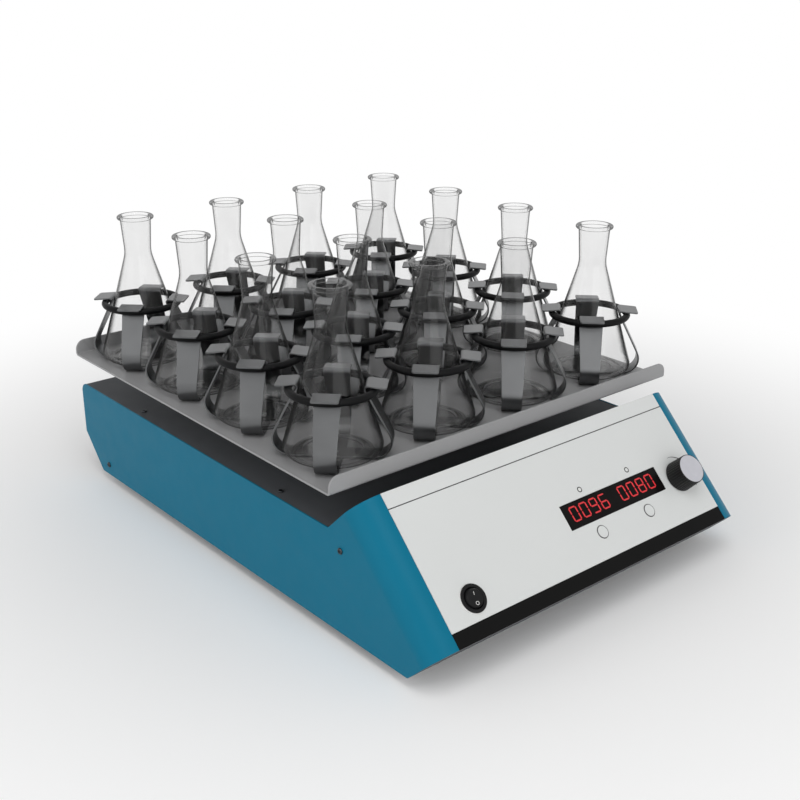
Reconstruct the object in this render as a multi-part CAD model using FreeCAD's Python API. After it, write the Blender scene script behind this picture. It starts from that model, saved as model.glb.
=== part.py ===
"""Bench orbital shaker with sixteen clamped conical flasks.

Millimetres. The origin lies on the bench under the middle of the housing. +X is to the right of someone
who faces the console, +Y runs from the console to the rear, +Z is up.
"""
import FreeCAD, Part
import math
import os

V = FreeCAD.Vector

# Housing
BODY_WIDTH = 386.0
BODY_DEPTH = 567.5
BODY_HEIGHT = 92.0
FOOT_HEIGHT = 10.0
SHEET = 1.5
REAR_CHAMFER_DEPTH = 32.4
REAR_CHAMFER_HEIGHT = 36.0
REAR_TOP_RADIUS = 10.0
CORNER_RADIUS = 5.0
PLATE_SETBACK = 0.5
SEAT_GAP = 0.2
FLANGE_WIDTH = 12.0
BEND_RADIUS = 3.0

# Console
CONSOLE_SLOPE = 45.6
CONSOLE_LENGTH = 135.2
CONSOLE_THICKNESS = 46.0
CHEEK_RADIUS = 24.3
PANEL_SHEET = 1.5
STRIP_HEIGHT = 13.0
GROOVE_FROM_BOTTOM = 124.1
GROOVE_WIDTH = 0.8
GROOVE_DEPTH = 0.4

# Panel features, x from the middle of the panel, height up the slope from its bottom edge
DISPLAY_X = 55.4
DISPLAY_Y = 58.9
DISPLAY_WIDTH = 127.4
DISPLAY_HEIGHT = 23.4
WINDOW_THICKNESS = 2.0
MODULE_WIDTH = 50.0
MODULE_HEIGHT = 19.0
MODULE_DEPTH = 6.0
BUTTON_PITCH = 63.2
BUTTON_X = 22.9
BUTTON_Y = 36.0
BUTTON_RADIUS = 6.1
BUTTON_PROUD = 0.4
BUTTON_TRAVEL = 1.0
BUTTON_LENGTH = 4.2
LENS_Y = 77.5
LENS_RADIUS = 2.2
LENS_PROUD = 0.4
SWITCH_X = -135.3
SWITCH_Y = 30.9
SWITCH_RADIUS = 12.3
SWITCH_BEZEL_HEIGHT = 2.0
SWITCH_BARREL_RADIUS = 10.3
SWITCH_BORE_RADIUS = 8.9
SWITCH_DEPTH = 18.0
SWITCH_FLOOR = 2.0
ROCKER_TILT = 10.0
ROCKER_LOW = 3.3
ROCKER_PIVOT = 0.3
ROCKER_DEPTH = 5.0
ROCKER_PIN_RADIUS = 1.2
KNOB_X = 141.5
KNOB_Y = 52.9
KNOB_BASE_RADIUS = 14.7
KNOB_TOP_RADIUS = 14.0
KNOB_HEIGHT = 19.3
KNOB_FLOAT = 0.6
KNOB_FLUTES = 36
KNOB_FLUTE_DEPTH = 0.45
KNOB_SKIRT_RADIUS = 9.5
KNOB_SKIRT_DEPTH = 8.0
CAP_RADIUS = 13.3
CAP_THICKNESS = 0.8
ENCODER_SHAFT_RADIUS = 3.0
ENCODER_BUSH_RADIUS = 4.5
ENCODER_BUSH_LENGTH = 6.0
ENCODER_BODY = 13.0
BOARD_DEPTH = 8.0
BOARD_THICKNESS = 1.6
BOARD_LEFT = -25.0
BOARD_RIGHT = 158.0
BOARD_BOTTOM = 20.0
BOARD_TOP = 92.0
STUD_RADIUS = 2.5
STUD_INSET = 6.0
KEY_SIZE = 6.2
KEY_HEIGHT = 3.0

# Drive
ORBIT_RADIUS = 10.0
CRANK_TO_REAR = 230.4
IDLER_CIRCLE = 135.0
IDLER_COUNT = 3
DRIVE_DEPTH = 36.0
CHASSIS_PLATE = 6.0
CHASSIS_WIDTH = 330.0
CHASSIS_DEPTH = 350.0
CHASSIS_CORNER = 18.0
CHASSIS_OFFSET = 8.7
POST_RADIUS = 9.0
POST_INSET = 16.0
SHAFT_RADIUS = 7.5
RUNNING_FIT = 0.03
SEATING_GAP = 0.3
BEARING_RADIUS = 16.0
BEARING_WIDTH = 9.0
HOUSING_BODY_RADIUS = 24.0
HOUSING_FLANGE_RADIUS = 40.0
HOUSING_FLANGE = 7.0
HOUSING_DROP = 38.0
HOUSING_SCREW_CIRCLE = 64.0
HUB_RADIUS = 25.0
HUB_RISE = 10.0
MOVING_GAP = 2.0
WELL_CLEARANCE = 3.0
PIN_RADIUS = 6.0
PIN_SHOULDER_RADIUS = 8.0
PIN_BEARING_RADIUS = 14.0
PIN_BEARING_WIDTH = 8.0
BOSS_RADIUS = 19.0
BEARING_RECESS = 2.5
COUNTERWEIGHT_RADIUS = 60.0
COUNTERWEIGHT_THICKNESS = 7.0
BELT_PITCH = 5.0
DRIVE_TEETH = 64
MOTOR_TEETH = 16
TOOTH_DEPTH = 1.6
PULLEY_WIDTH = 14.0
BELT_WIDTH = 10.0
BELT_THICKNESS = 1.8
BELT_GAP = 0.3
MOTOR_DISTANCE = 113.0
MOTOR_RADIUS = 34.0
MOTOR_HEIGHT = 38.0
MOTOR_SHAFT_RADIUS = 4.0
MOTOR_BOSS_RADIUS = 11.0
PULLEY_FLANGE = 1.0
PULLEY_FLANGE_RADIUS = 16.5

# Platform
PLATFORM_WIDTH = 413.0
PLATFORM_DEPTH = 432.5
PLATFORM_SHEET = 2.0
PLATFORM_CLEARANCE = 2.919
LIP_HEIGHT = 16.0
LIP_BEND = 3.0
LIP_CORNER = 10.0
FRAME_PLATE = 6.0
FRAME_RADIUS = 158.0
FRAME_WINDOW_RADIUS = 25.0
FRAME_RIB = 6.0
PLATFORM_SCREW_OFFSET = 105.0

# Clamps and flasks
COLUMN_INSET = 49.0
ROW_INSET = 58.75
ROWS = 4
STRIP = 1.5
FINGER_BASE_WIDTH = 18.5
FINGER_TOP_WIDTH = 22.5
FINGER_REACH = 50.5
FINGER_BEND = 15.0
RING_HEIGHT = 60.2
RING_RADIUS = 36.1
RING_SECTION = 3.3
RING_GAP = 0.4
HOOK_RISE = 2.2
HOOK_RADIUS = 1.5
HOOK_SLOPE = 5.0
HOOK_REACH = 45.8
HOOK_CORNER = 2.0
CLAMP_SCREW_RADIUS = 2.0
CLAMP_HEAD_RADIUS = 4.2
CLAMP_HEAD = 1.8
FLASK_HEIGHT = 145.0
FLASK_BASE_RADIUS = 42.5
FLASK_HEEL = 8.0
FLASK_WAIST_RADIUS = 12.8
FLASK_WAIST_HEIGHT = 108.0
FLASK_WAIST_BEND = 32.0
FLASK_NECK_RADIUS = 15.0
FLASK_WALL = 1.8
FLASK_RIM_RADIUS = 17.85
FLASK_RIM = 3.5
FLASK_PUNT = 2.6
FLASK_PUNT_RADIUS = 24.0
FLASK_FOOT_RADIUS = 31.0

# Screws, feet and rear fittings
SCREW_HEAD_RADIUS = 2.8
SCREW_HEAD = 0.8
SCREW_SHANK_RADIUS = 1.5
SCREW_LENGTH = 5.0
REAR_SCREW_INSET = 48.2
REAR_SCREW_HEIGHT = 11.9
FRONT_SCREW_DOWN = 21.9
FRONT_SCREW_IN = 50.8
TOP_SCREW_INSET = 10.0
TOP_SCREW_FRONT = 125.0
TOP_SCREW_REAR = 113.0
TRAY_FLANGE = 25.0
FOOT_RADIUS = 14.0
FOOT_TOP_RADIUS = 11.0
FOOT_SIDE_INSET = 35.0
FOOT_END_INSET = 38.0
REAR_PANEL_RISE = 11.0
REAR_PANEL_DROP = 14.0
LIP_LAP = 3.5
INLET_INSET = 73.0
INLET_WIDTH = 48.0
INLET_HEIGHT = 26.0
INLET_FLANGE = 2.5
INLET_BODY_WIDTH = 28.0
INLET_BODY_HEIGHT = 20.0
INLET_BODY_DEPTH = 24.0
SOCKET_WIDTH = 24.0
SOCKET_HEIGHT = 16.0
SOCKET_DEPTH = 16.0
VENT_COUNT = 9
VENT_PITCH = 9.0
VENT_WIDTH = 4.0
VENT_HEIGHT = 18.0
VENT_X = 60.0
TRAY_VENT_COUNT = 8
TRAY_VENT_PITCH = 14.0
TRAY_VENT_LENGTH = 50.0
SUPPLY_WIDTH = 62.0
SUPPLY_LENGTH = 118.0
SUPPLY_HEIGHT = 30.0
SUPPLY_SIDE_INSET = 22.0
SUPPLY_OFFSET = 85.0

# Derived places
SLOPE = math.radians(CONSOLE_SLOPE)
UP_Y = math.cos(SLOPE)
UP_Z = math.sin(SLOPE)
OUT_Y = -math.sin(SLOPE)
OUT_Z = math.cos(SLOPE)
HALF = BODY_WIDTH / 2
INNER_HALF = HALF - SHEET
PANEL_HALF = HALF - CHEEK_RADIUS
FRONT_Y = -(BODY_DEPTH + INLET_FLANGE) / 2
REAR_Y = FRONT_Y + BODY_DEPTH
BOTTOM_Z = FOOT_HEIGHT
TOP_Z = BOTTOM_Z + BODY_HEIGHT
CONSOLE_Z = BOTTOM_Z + CONSOLE_THICKNESS * OUT_Z
TRAY_TOP = BOTTOM_Z + SHEET
PLATE_TOP = TOP_Z - PLATE_SETBACK
PLATE_UNDER = PLATE_TOP - SHEET
REAR_PANEL_BOTTOM = BOTTOM_Z + REAR_CHAMFER_HEIGHT + REAR_PANEL_RISE
REAR_PANEL_TOP = TOP_Z - REAR_PANEL_DROP
INLET_X = -HALF + INLET_INSET
INLET_Z = (REAR_PANEL_BOTTOM + REAR_PANEL_TOP) / 2
CRANK_Y = REAR_Y - CRANK_TO_REAR
CHASSIS_TOP = PLATE_UNDER - DRIVE_DEPTH
CHASSIS_CENTRE_Y = CRANK_Y + CHASSIS_OFFSET
HOUSING_BOTTOM = CHASSIS_TOP - HOUSING_DROP
PULLEY_BOTTOM = CHASSIS_TOP + HOUSING_FLANGE + MOVING_GAP
COUNTERWEIGHT_TOP = PULLEY_BOTTOM + PULLEY_WIDTH + MOVING_GAP + COUNTERWEIGHT_THICKNESS
HUB_BOTTOM = COUNTERWEIGHT_TOP
HUB_TOP = TOP_Z + HUB_RISE
BOSS_BOTTOM = HUB_TOP + MOVING_GAP
MOTOR_Y = CRANK_Y - MOTOR_DISTANCE
MOTOR_BOTTOM = CHASSIS_TOP - CHASSIS_PLATE - MOTOR_HEIGHT
CREST_Z = CONSOLE_Z + CONSOLE_LENGTH * UP_Z
PLATFORM_BOTTOM = CREST_Z + PLATFORM_CLEARANCE
PLATFORM_TOP = PLATFORM_BOTTOM + PLATFORM_SHEET
PLATFORM_Y = CRANK_Y - ORBIT_RADIUS
SUPPLY_X = -INNER_HALF + SUPPLY_SIDE_INSET + SUPPLY_WIDTH / 2
SUPPLY_Y = CRANK_Y + SUPPLY_OFFSET
TOP_SCREW_X = HALF - TOP_SCREW_INSET
FLASK_BASE_Z = PLATFORM_TOP + 2 * STRIP
COLUMN_PITCH = (PLATFORM_WIDTH - 2 * COLUMN_INSET) / (ROWS - 1)
ROW_PITCH = (PLATFORM_DEPTH - 2 * ROW_INSET) / (ROWS - 1)
FIRST_COLUMN = COLUMN_INSET - PLATFORM_WIDTH / 2
FIRST_ROW = PLATFORM_Y + ROW_INSET - PLATFORM_DEPTH / 2


def console_point(up, out):
    """Side-view (y, z) of a point given up the slope and out of the panel face."""
    return (FRONT_Y + up * UP_Y + out * OUT_Y, CONSOLE_Z + up * UP_Z + out * OUT_Z)


def side_screw_places():
    """Places (y, z) of the screws through a side panel, rear one first."""
    return [(REAR_Y - REAR_SCREW_INSET, BOTTOM_Z + REAR_SCREW_HEIGHT),
            console_point(CONSOLE_LENGTH - FRONT_SCREW_DOWN, -FRONT_SCREW_IN)]


def console_depth_at(up, z):
    """How far out of the panel face a point at height z lies, for a place up the slope."""
    return (z - CONSOLE_Z - up * UP_Z) / OUT_Z


def side_view(x):
    """Mapping that draws (y, z) points in the plane at x."""
    return lambda a, b: V(x, a, b)


def plan_view(z):
    """Mapping that draws (x, y) points in the plane at z."""
    return lambda a, b: V(a, b, z)


def front_view(y):
    """Mapping that draws (x, z) points in the plane at y."""
    return lambda a, b: V(a, y, b)


def corner_arc(before, at, after, radius):
    """Start, middle and end of the arc that rounds a corner of an outline."""
    ax, ay = before[0] - at[0], before[1] - at[1]
    bx, by = after[0] - at[0], after[1] - at[1]
    la = math.hypot(ax, ay)
    lb = math.hypot(bx, by)
    ax, ay, bx, by = ax / la, ay / la, bx / lb, by / lb
    half = math.acos(max(-1.0, min(1.0, ax * bx + ay * by))) / 2
    setback = radius / math.tan(half)
    mx, my = ax + bx, ay + by
    lm = math.hypot(mx, my)
    reach = radius / math.sin(half) - radius
    start = (at[0] + ax * setback, at[1] + ay * setback)
    middle = (at[0] + mx / lm * reach, at[1] + my / lm * reach)
    end = (at[0] + bx * setback, at[1] + by * setback)
    return start, middle, end


def outline_face(points, view):
    """Planar face from (a, b) or (a, b, radius) corners."""
    count = len(points)
    edges = []
    stops = []
    for i in range(count):
        point = points[i]
        radius = point[2] if len(point) > 2 else 0.0
        if radius > 0:
            stops.append(corner_arc(points[i - 1], point, points[(i + 1) % count], radius))
        else:
            stops.append((point[:2],))
    for i in range(count):
        stop = stops[i]
        following = stops[(i + 1) % count]
        if len(stop) == 3:
            edges.append(Part.Arc(view(*stop[0]), view(*stop[1]), view(*stop[2])).toShape())
        start = view(*stop[-1])
        end = view(*following[0])
        if start.distanceToPoint(end) > 1e-6:
            edges.append(Part.LineSegment(start, end).toShape())
    return Part.Face(Part.Wire(edges))


def offset_path(points, thickness):
    """The path moved to its left by a thickness, with each bend radius adjusted."""
    count = len(points)
    lines = []
    for i in range(count - 1):
        ax, ay = points[i][:2]
        bx, by = points[i + 1][:2]
        length = math.hypot(bx - ax, by - ay)
        nx, ny = -(by - ay) / length, (bx - ax) / length
        start = (ax + nx * thickness, ay + ny * thickness)
        lines.append((start, ((bx - ax) / length, (by - ay) / length), length))
    path = [lines[0][0]]
    for i in range(1, count - 1):
        (px, py), (ux, uy), _ = lines[i - 1]
        (qx, qy), (vx, vy), _ = lines[i]
        cross = ux * vy - uy * vx
        t = ((qx - px) * vy - (qy - py) * vx) / cross
        radius = points[i][2] if len(points[i]) > 2 else 0.0
        if radius > 0:
            radius = radius - thickness if cross > 0 else radius + thickness
        path.append((px + ux * t, py + uy * t, max(radius, 0.0)))
    (px, py), (ux, uy), length = lines[-1]
    path.append((px + ux * length, py + uy * length))
    return path


def bent_sheet(points, thickness, view):
    """Face of a bent sheet's section: a path with bend radii and the wall on its left."""
    return outline_face(list(points) + offset_path(points, thickness)[::-1], view)


def box(x0, x1, y0, y1, z0, z1):
    """Box between two corners."""
    return Part.makeBox(x1 - x0, y1 - y0, z1 - z0, V(x0, y0, z0))


def rod(x, y, z0, z1, radius):
    """Upright cylinder between two heights."""
    return Part.makeCylinder(radius, z1 - z0, V(x, y, z0))


def tube(x, y, z0, z1, outer, inner):
    """Upright tube between two heights."""
    return rod(x, y, z0, z1, outer).cut(rod(x, y, z0, z1, inner))


def turned(points):
    """Solid of revolution about Z from an (r, z) outline."""
    return outline_face(points, front_view(0)).revolve(V(0, 0, 0), V(0, 0, 1), 360)


def joined(shapes):
    """One solid from shapes that meet."""
    result = shapes[0]
    for shape in shapes[1:]:
        result = result.fuse(shape)
    return result.removeSplitter()


def moved(shape, x, y, z):
    """Copy of a shape, moved."""
    copy = shape.copy()
    copy.translate(V(x, y, z))
    return copy


def mirrored(shape):
    """Copy mirrored to the other side of the housing."""
    return shape.mirror(V(0, 0, 0), V(1, 0, 0))


def on_console(shape):
    """Shape drawn flat (y up the slope, z out of the panel), laid on the console."""
    copy = shape.copy()
    copy.rotate(V(0, 0, 0), V(1, 0, 0), CONSOLE_SLOPE)
    copy.translate(V(0, FRONT_Y, CONSOLE_Z))
    return copy


def slot(cx, cy, length, width, z0, z1):
    """Round-ended slot along Y."""
    half = width / 2
    reach = length / 2
    corners = [(cx - half, cy - reach, half * 0.999), (cx + half, cy - reach, half * 0.999),
               (cx + half, cy + reach, half * 0.999), (cx - half, cy + reach, half * 0.999)]
    return outline_face(corners, plan_view(z0)).extrude(V(0, 0, z1 - z0))


# Housing sheets
def side_outline(inset):
    """Corners of the housing's side in (y, z), without the rounded cheek."""
    foot = console_point(0, -CONSOLE_THICKNESS)
    nose = console_point(0, -CHEEK_RADIUS)
    crest = console_point(CONSOLE_LENGTH, -CHEEK_RADIUS)
    neck = console_point(CONSOLE_LENGTH, console_depth_at(CONSOLE_LENGTH, TOP_Z - inset))
    return [(foot[0], foot[1] + inset, CORNER_RADIUS), nose, crest, neck,
            (REAR_Y - inset, TOP_Z - inset, REAR_TOP_RADIUS),
            (REAR_Y - inset, BOTTOM_Z + REAR_CHAMFER_HEIGHT, BEND_RADIUS),
            (REAR_Y - REAR_CHAMFER_DEPTH, BOTTOM_Z + inset, BEND_RADIUS)]


def housing_core():
    """Space inside the side sheets, to which the cross sheets are trimmed."""
    body = outline_face(side_outline(0), side_view(-INNER_HALF)).extrude(V(2 * INNER_HALF, 0, 0))
    radius = CHEEK_RADIUS - SHEET - SEAT_GAP
    bend = radius * math.cos(math.pi / 4)
    view = front_view(0)
    low = -CONSOLE_THICKNESS / 2
    left = Part.Arc(view(-PANEL_HALF - radius, -CHEEK_RADIUS),
                    view(-PANEL_HALF - bend, -CHEEK_RADIUS + bend),
                    view(-PANEL_HALF, -CHEEK_RADIUS + radius)).toShape()
    right = Part.Arc(view(PANEL_HALF, -CHEEK_RADIUS + radius),
                     view(PANEL_HALF + bend, -CHEEK_RADIUS + bend),
                     view(PANEL_HALF + radius, -CHEEK_RADIUS)).toShape()
    corners = [(PANEL_HALF + radius, -CHEEK_RADIUS), (PANEL_HALF + radius, low - CHEEK_RADIUS),
               (-PANEL_HALF - radius, low - CHEEK_RADIUS), (-PANEL_HALF - radius, -CHEEK_RADIUS)]
    edges = [left, Part.LineSegment(view(-PANEL_HALF, -CHEEK_RADIUS + radius),
                                    view(PANEL_HALF, -CHEEK_RADIUS + radius)).toShape(), right]
    for start, end in zip(corners, corners[1:]):
        edges.append(Part.LineSegment(view(*start), view(*end)).toShape())
    nose = Part.Face(Part.Wire(edges)).extrude(V(0, CONSOLE_LENGTH, 0))
    return body.fuse(on_console(nose))


def left_side_panel():
    """Side sheet with its rounded cheek, panel ledge and top flange."""
    flat = outline_face(side_outline(0), side_view(-HALF)).extrude(V(SHEET, 0, 0))
    view = front_view(0)
    inner = CHEEK_RADIUS - SHEET
    middle = math.cos(math.pi / 4)
    outer_arc = Part.Arc(view(-HALF, -CHEEK_RADIUS),
                         view(-PANEL_HALF - CHEEK_RADIUS * middle, -CHEEK_RADIUS * (1 - middle)),
                         view(-PANEL_HALF, 0)).toShape()
    inner_arc = Part.Arc(view(-PANEL_HALF, -SHEET),
                         view(-PANEL_HALF - inner * middle, -CHEEK_RADIUS + inner * middle),
                         view(-INNER_HALF, -CHEEK_RADIUS)).toShape()
    ends = [Part.LineSegment(view(-PANEL_HALF, 0), view(-PANEL_HALF, -SHEET)).toShape(),
            Part.LineSegment(view(-INNER_HALF, -CHEEK_RADIUS), view(-HALF, -CHEEK_RADIUS)).toShape()]
    section = Part.Face(Part.Wire([outer_arc, ends[0], inner_arc, ends[1]]))
    cheek = section.extrude(V(0, CONSOLE_LENGTH, 0))
    ledge = box(-PANEL_HALF - SHEET, -PANEL_HALF + FLANGE_WIDTH, STRIP_HEIGHT + SHEET,
                CONSOLE_LENGTH - STRIP_HEIGHT - SHEET, -PANEL_SHEET - SHEET, -PANEL_SHEET)
    neck = side_outline(0)[3]
    flange = box(-INNER_HALF, -INNER_HALF + FLANGE_WIDTH, neck[0] + FLANGE_WIDTH + 2 * BEND_RADIUS,
                 REAR_Y - REAR_TOP_RADIUS - BEND_RADIUS, PLATE_UNDER - SHEET, PLATE_UNDER)
    sheet = joined([flat, on_console(cheek), on_console(ledge), flange])
    hole = SCREW_SHANK_RADIUS + SEAT_GAP
    for y, z in side_screw_places():
        sheet = sheet.cut(Part.makeCylinder(hole, SHEET, V(-HALF, y, z), V(1, 0, 0)))
    for x, y in top_screw_places():
        sheet = sheet.cut(rod(x, y, PLATE_UNDER - SHEET, PLATE_UNDER, hole))
    return sheet


def bottom_tray():
    """Tray from the console's lower edge, under the body, to the rear."""
    under = -PANEL_SHEET
    path = [console_point(STRIP_HEIGHT - SHEET, under), (*console_point(0, under), BEND_RADIUS),
            (*console_point(0, -CONSOLE_THICKNESS), CORNER_RADIUS),
            (REAR_Y - REAR_CHAMFER_DEPTH, BOTTOM_Z, BEND_RADIUS),
            (REAR_Y, BOTTOM_Z + REAR_CHAMFER_HEIGHT, BEND_RADIUS), (REAR_Y, REAR_PANEL_BOTTOM)]
    floor = bent_sheet(path, SHEET, side_view(-INNER_HALF)).extrude(V(2 * INNER_HALF, 0, 0))
    floor = floor.common(housing_core())
    start = console_point(0, -CONSOLE_THICKNESS)[0] + FLANGE_WIDTH
    end = REAR_Y - REAR_CHAMFER_DEPTH - CORNER_RADIUS
    edge = box(-INNER_HALF, -INNER_HALF + SHEET, start, end, TRAY_TOP, TRAY_TOP + TRAY_FLANGE)
    tray = joined([floor, edge, mirrored(edge)])
    cuts = []
    for i in range(TRAY_VENT_COUNT):
        offset = (i - (TRAY_VENT_COUNT - 1) / 2) * TRAY_VENT_PITCH
        cuts.append(slot(offset, -TRAY_VENT_LENGTH * 2, TRAY_VENT_LENGTH, VENT_WIDTH, BOTTOM_Z, TRAY_TOP))
    for x in (-INNER_HALF, INNER_HALF - SHEET):
        y, z = side_screw_places()[0]
        cuts.append(Part.makeCylinder(SCREW_SHANK_RADIUS + SEAT_GAP, SHEET, V(x, y, z), V(1, 0, 0)))
    for x, y in foot_places():
        cuts.append(rod(x, y, BOTTOM_Z, TRAY_TOP, SCREW_SHANK_RADIUS + SEAT_GAP))
    return tray.cut(Part.makeCompound(cuts))


def top_plate():
    """Dark top sheet with wells for the cranks and a rear edge bent down."""
    neck = console_point(CONSOLE_LENGTH, console_depth_at(CONSOLE_LENGTH, PLATE_UNDER))
    path = [(REAR_Y, REAR_PANEL_TOP), (REAR_Y, PLATE_TOP, REAR_TOP_RADIUS - PLATE_SETBACK),
            (neck[0] + SEAT_GAP, PLATE_TOP)]
    half = INNER_HALF - SEAT_GAP
    plate = bent_sheet(path, SHEET, side_view(-half)).extrude(V(2 * half, 0, 0))
    cuts = []
    for x, y in crank_places():
        cuts.append(rod(x, y, PLATE_UNDER - SHEET, PLATE_TOP, HUB_RADIUS + WELL_CLEARANCE))
    for x, y in top_screw_places():
        cuts.append(rod(x, y, PLATE_UNDER, PLATE_TOP, SCREW_SHANK_RADIUS + SEAT_GAP))
    return plate.cut(Part.makeCompound(cuts))


def rear_panel():
    """Upright rear sheet with lips behind its neighbours, inlet cut-out and vents."""
    half = INNER_HALF - SEAT_GAP
    low = REAR_PANEL_BOTTOM + SEAT_GAP
    high = REAR_PANEL_TOP - SEAT_GAP
    face = box(-half, half, REAR_Y - SHEET, REAR_Y, low, high)
    lip = box(-half, half, REAR_Y - 2 * SHEET, REAR_Y - SHEET, low - LIP_LAP, high + LIP_LAP)
    sheet = joined([face, lip])
    window = box(-half + FLANGE_WIDTH, half - FLANGE_WIDTH, REAR_Y - 2 * SHEET, REAR_Y - SHEET,
                 low + SHEET, high - SHEET)
    sheet = sheet.cut(window)
    cuts = [box(INLET_X - INLET_BODY_WIDTH / 2 - SEAT_GAP, INLET_X + INLET_BODY_WIDTH / 2 + SEAT_GAP,
                REAR_Y - SHEET, REAR_Y, INLET_Z - INLET_BODY_HEIGHT / 2 - SEAT_GAP,
                INLET_Z + INLET_BODY_HEIGHT / 2 + SEAT_GAP)]
    for i in range(VENT_COUNT):
        x = VENT_X + i * VENT_PITCH
        cuts.append(box(x, x + VENT_WIDTH, REAR_Y - SHEET, REAR_Y, INLET_Z - VENT_HEIGHT / 2,
                        INLET_Z + VENT_HEIGHT / 2))
    return sheet.cut(Part.makeCompound(cuts))


def console_back():
    """Sheet that closes the console behind its top edge, with a flange under the top plate."""
    under = -PANEL_SHEET
    neck = console_point(CONSOLE_LENGTH, console_depth_at(CONSOLE_LENGTH, PLATE_UNDER))
    path = [(neck[0] + FLANGE_WIDTH, PLATE_UNDER), (*neck, 0.0),
            (*console_point(CONSOLE_LENGTH, under), BEND_RADIUS),
            console_point(CONSOLE_LENGTH - STRIP_HEIGHT + SHEET, under)]
    sheet = bent_sheet(path, SHEET, side_view(-INNER_HALF)).extrude(V(2 * INNER_HALF, 0, 0))
    sheet = sheet.common(housing_core())
    y, z = side_screw_places()[1]
    tab = box(-INNER_HALF, -INNER_HALF + SHEET, CONSOLE_LENGTH - 3 * FLANGE_WIDTH, CONSOLE_LENGTH - SHEET,
              -CONSOLE_THICKNESS - FLANGE_WIDTH, -CHEEK_RADIUS - SHEET)
    tab = on_console(tab)
    sheet = joined([sheet, tab, mirrored(tab)])
    for x in (-INNER_HALF, INNER_HALF - SHEET):
        sheet = sheet.cut(Part.makeCylinder(SCREW_SHANK_RADIUS + SEAT_GAP, SHEET, V(x, y, z), V(1, 0, 0)))
    return sheet


# Console pieces, drawn flat and laid on the slope
def stud_places():
    """Places of the four studs that carry the control board."""
    xs = (BOARD_LEFT + STUD_INSET, BOARD_RIGHT - STUD_INSET)
    ys = (BOARD_BOTTOM + STUD_INSET, BOARD_TOP - STUD_INSET)
    return [(x, y) for x in xs for y in ys]


def button_places():
    """Places of the set button and the start/stop button."""
    return [(BUTTON_X, BUTTON_Y), (BUTTON_X + BUTTON_PITCH, BUTTON_Y)]


def display_box(margin, z0, z1):
    """Box over the display opening, grown by a margin."""
    half_w = DISPLAY_WIDTH / 2 + margin
    half_h = DISPLAY_HEIGHT / 2 + margin
    return box(DISPLAY_X - half_w, DISPLAY_X + half_w, DISPLAY_Y - half_h, DISPLAY_Y + half_h, z0, z1)


def front_panel():
    """White printed sheet with its openings, groove and welded studs."""
    half = PANEL_HALF - SEAT_GAP
    sheet = box(-half, half, STRIP_HEIGHT + SEAT_GAP, CONSOLE_LENGTH, -PANEL_SHEET, 0)
    studs = [rod(x, y, -BOARD_DEPTH, -PANEL_SHEET, STUD_RADIUS) for x, y in stud_places()]
    cuts = [display_box(0, -PANEL_SHEET, 0),
            rod(SWITCH_X, SWITCH_Y, -PANEL_SHEET, 0, SWITCH_BARREL_RADIUS + SEAT_GAP),
            rod(KNOB_X, KNOB_Y, -PANEL_SHEET, 0, ENCODER_BUSH_RADIUS + SEAT_GAP),
            box(-half, half, GROOVE_FROM_BOTTOM - GROOVE_WIDTH / 2, GROOVE_FROM_BOTTOM + GROOVE_WIDTH / 2,
                -GROOVE_DEPTH, 0)]
    for x, y in button_places():
        cuts.append(rod(x, y, -PANEL_SHEET, 0, BUTTON_RADIUS + SEAT_GAP))
        cuts.append(rod(x, LENS_Y, -PANEL_SHEET, 0, LENS_RADIUS + SEAT_GAP))
    return on_console(joined([sheet] + studs).cut(Part.makeCompound(cuts)))


def front_strip():
    """Black strip along the bottom of the console, its lower edge eased."""
    half = PANEL_HALF - SEAT_GAP
    corners = [(0, -PANEL_SHEET), (STRIP_HEIGHT, -PANEL_SHEET), (STRIP_HEIGHT, 0), (0, 0, PANEL_SHEET / 2)]
    return on_console(outline_face(corners, side_view(-half)).extrude(V(2 * half, 0, 0)))


def display_window():
    """Dark clear window set flush in the front panel."""
    return on_console(display_box(-SEAT_GAP, -WINDOW_THICKNESS, 0))


def control_board():
    """Board behind the panel, with two digit modules and two key switches on it."""
    top = -BOARD_DEPTH
    board = box(BOARD_LEFT, BOARD_RIGHT, BOARD_BOTTOM, BOARD_TOP, top - BOARD_THICKNESS, top)
    parts = [board]
    for side in (-1, 1):
        centre = DISPLAY_X + side * DISPLAY_WIDTH / 4
        parts.append(box(centre - MODULE_WIDTH / 2, centre + MODULE_WIDTH / 2, DISPLAY_Y - MODULE_HEIGHT / 2,
                         DISPLAY_Y + MODULE_HEIGHT / 2, top, top + MODULE_DEPTH))
    for x, y in button_places():
        parts.append(box(x - KEY_SIZE / 2, x + KEY_SIZE / 2, y - KEY_SIZE / 2, y + KEY_SIZE / 2,
                         top, top + KEY_HEIGHT))
    return on_console(Part.makeCompound(parts))


def led_lenses():
    """Two indicator lenses that stand on the board and look through the panel."""
    outline = [(0, -BOARD_DEPTH), (LENS_RADIUS, -BOARD_DEPTH), (LENS_RADIUS, LENS_PROUD, LENS_PROUD),
               (0, LENS_PROUD)]
    lens = turned(outline)
    return on_console(Part.makeCompound([moved(lens, x, LENS_Y, 0) for x, _ in button_places()]))


def push_button(x, y):
    """Round key cap with an eased top edge."""
    bottom = BUTTON_PROUD - BUTTON_LENGTH
    outline = [(0, bottom), (BUTTON_RADIUS, bottom), (BUTTON_RADIUS, BUTTON_PROUD, BUTTON_PROUD),
               (0, BUTTON_PROUD)]
    return on_console(moved(turned(outline), x, y, 0))


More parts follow.
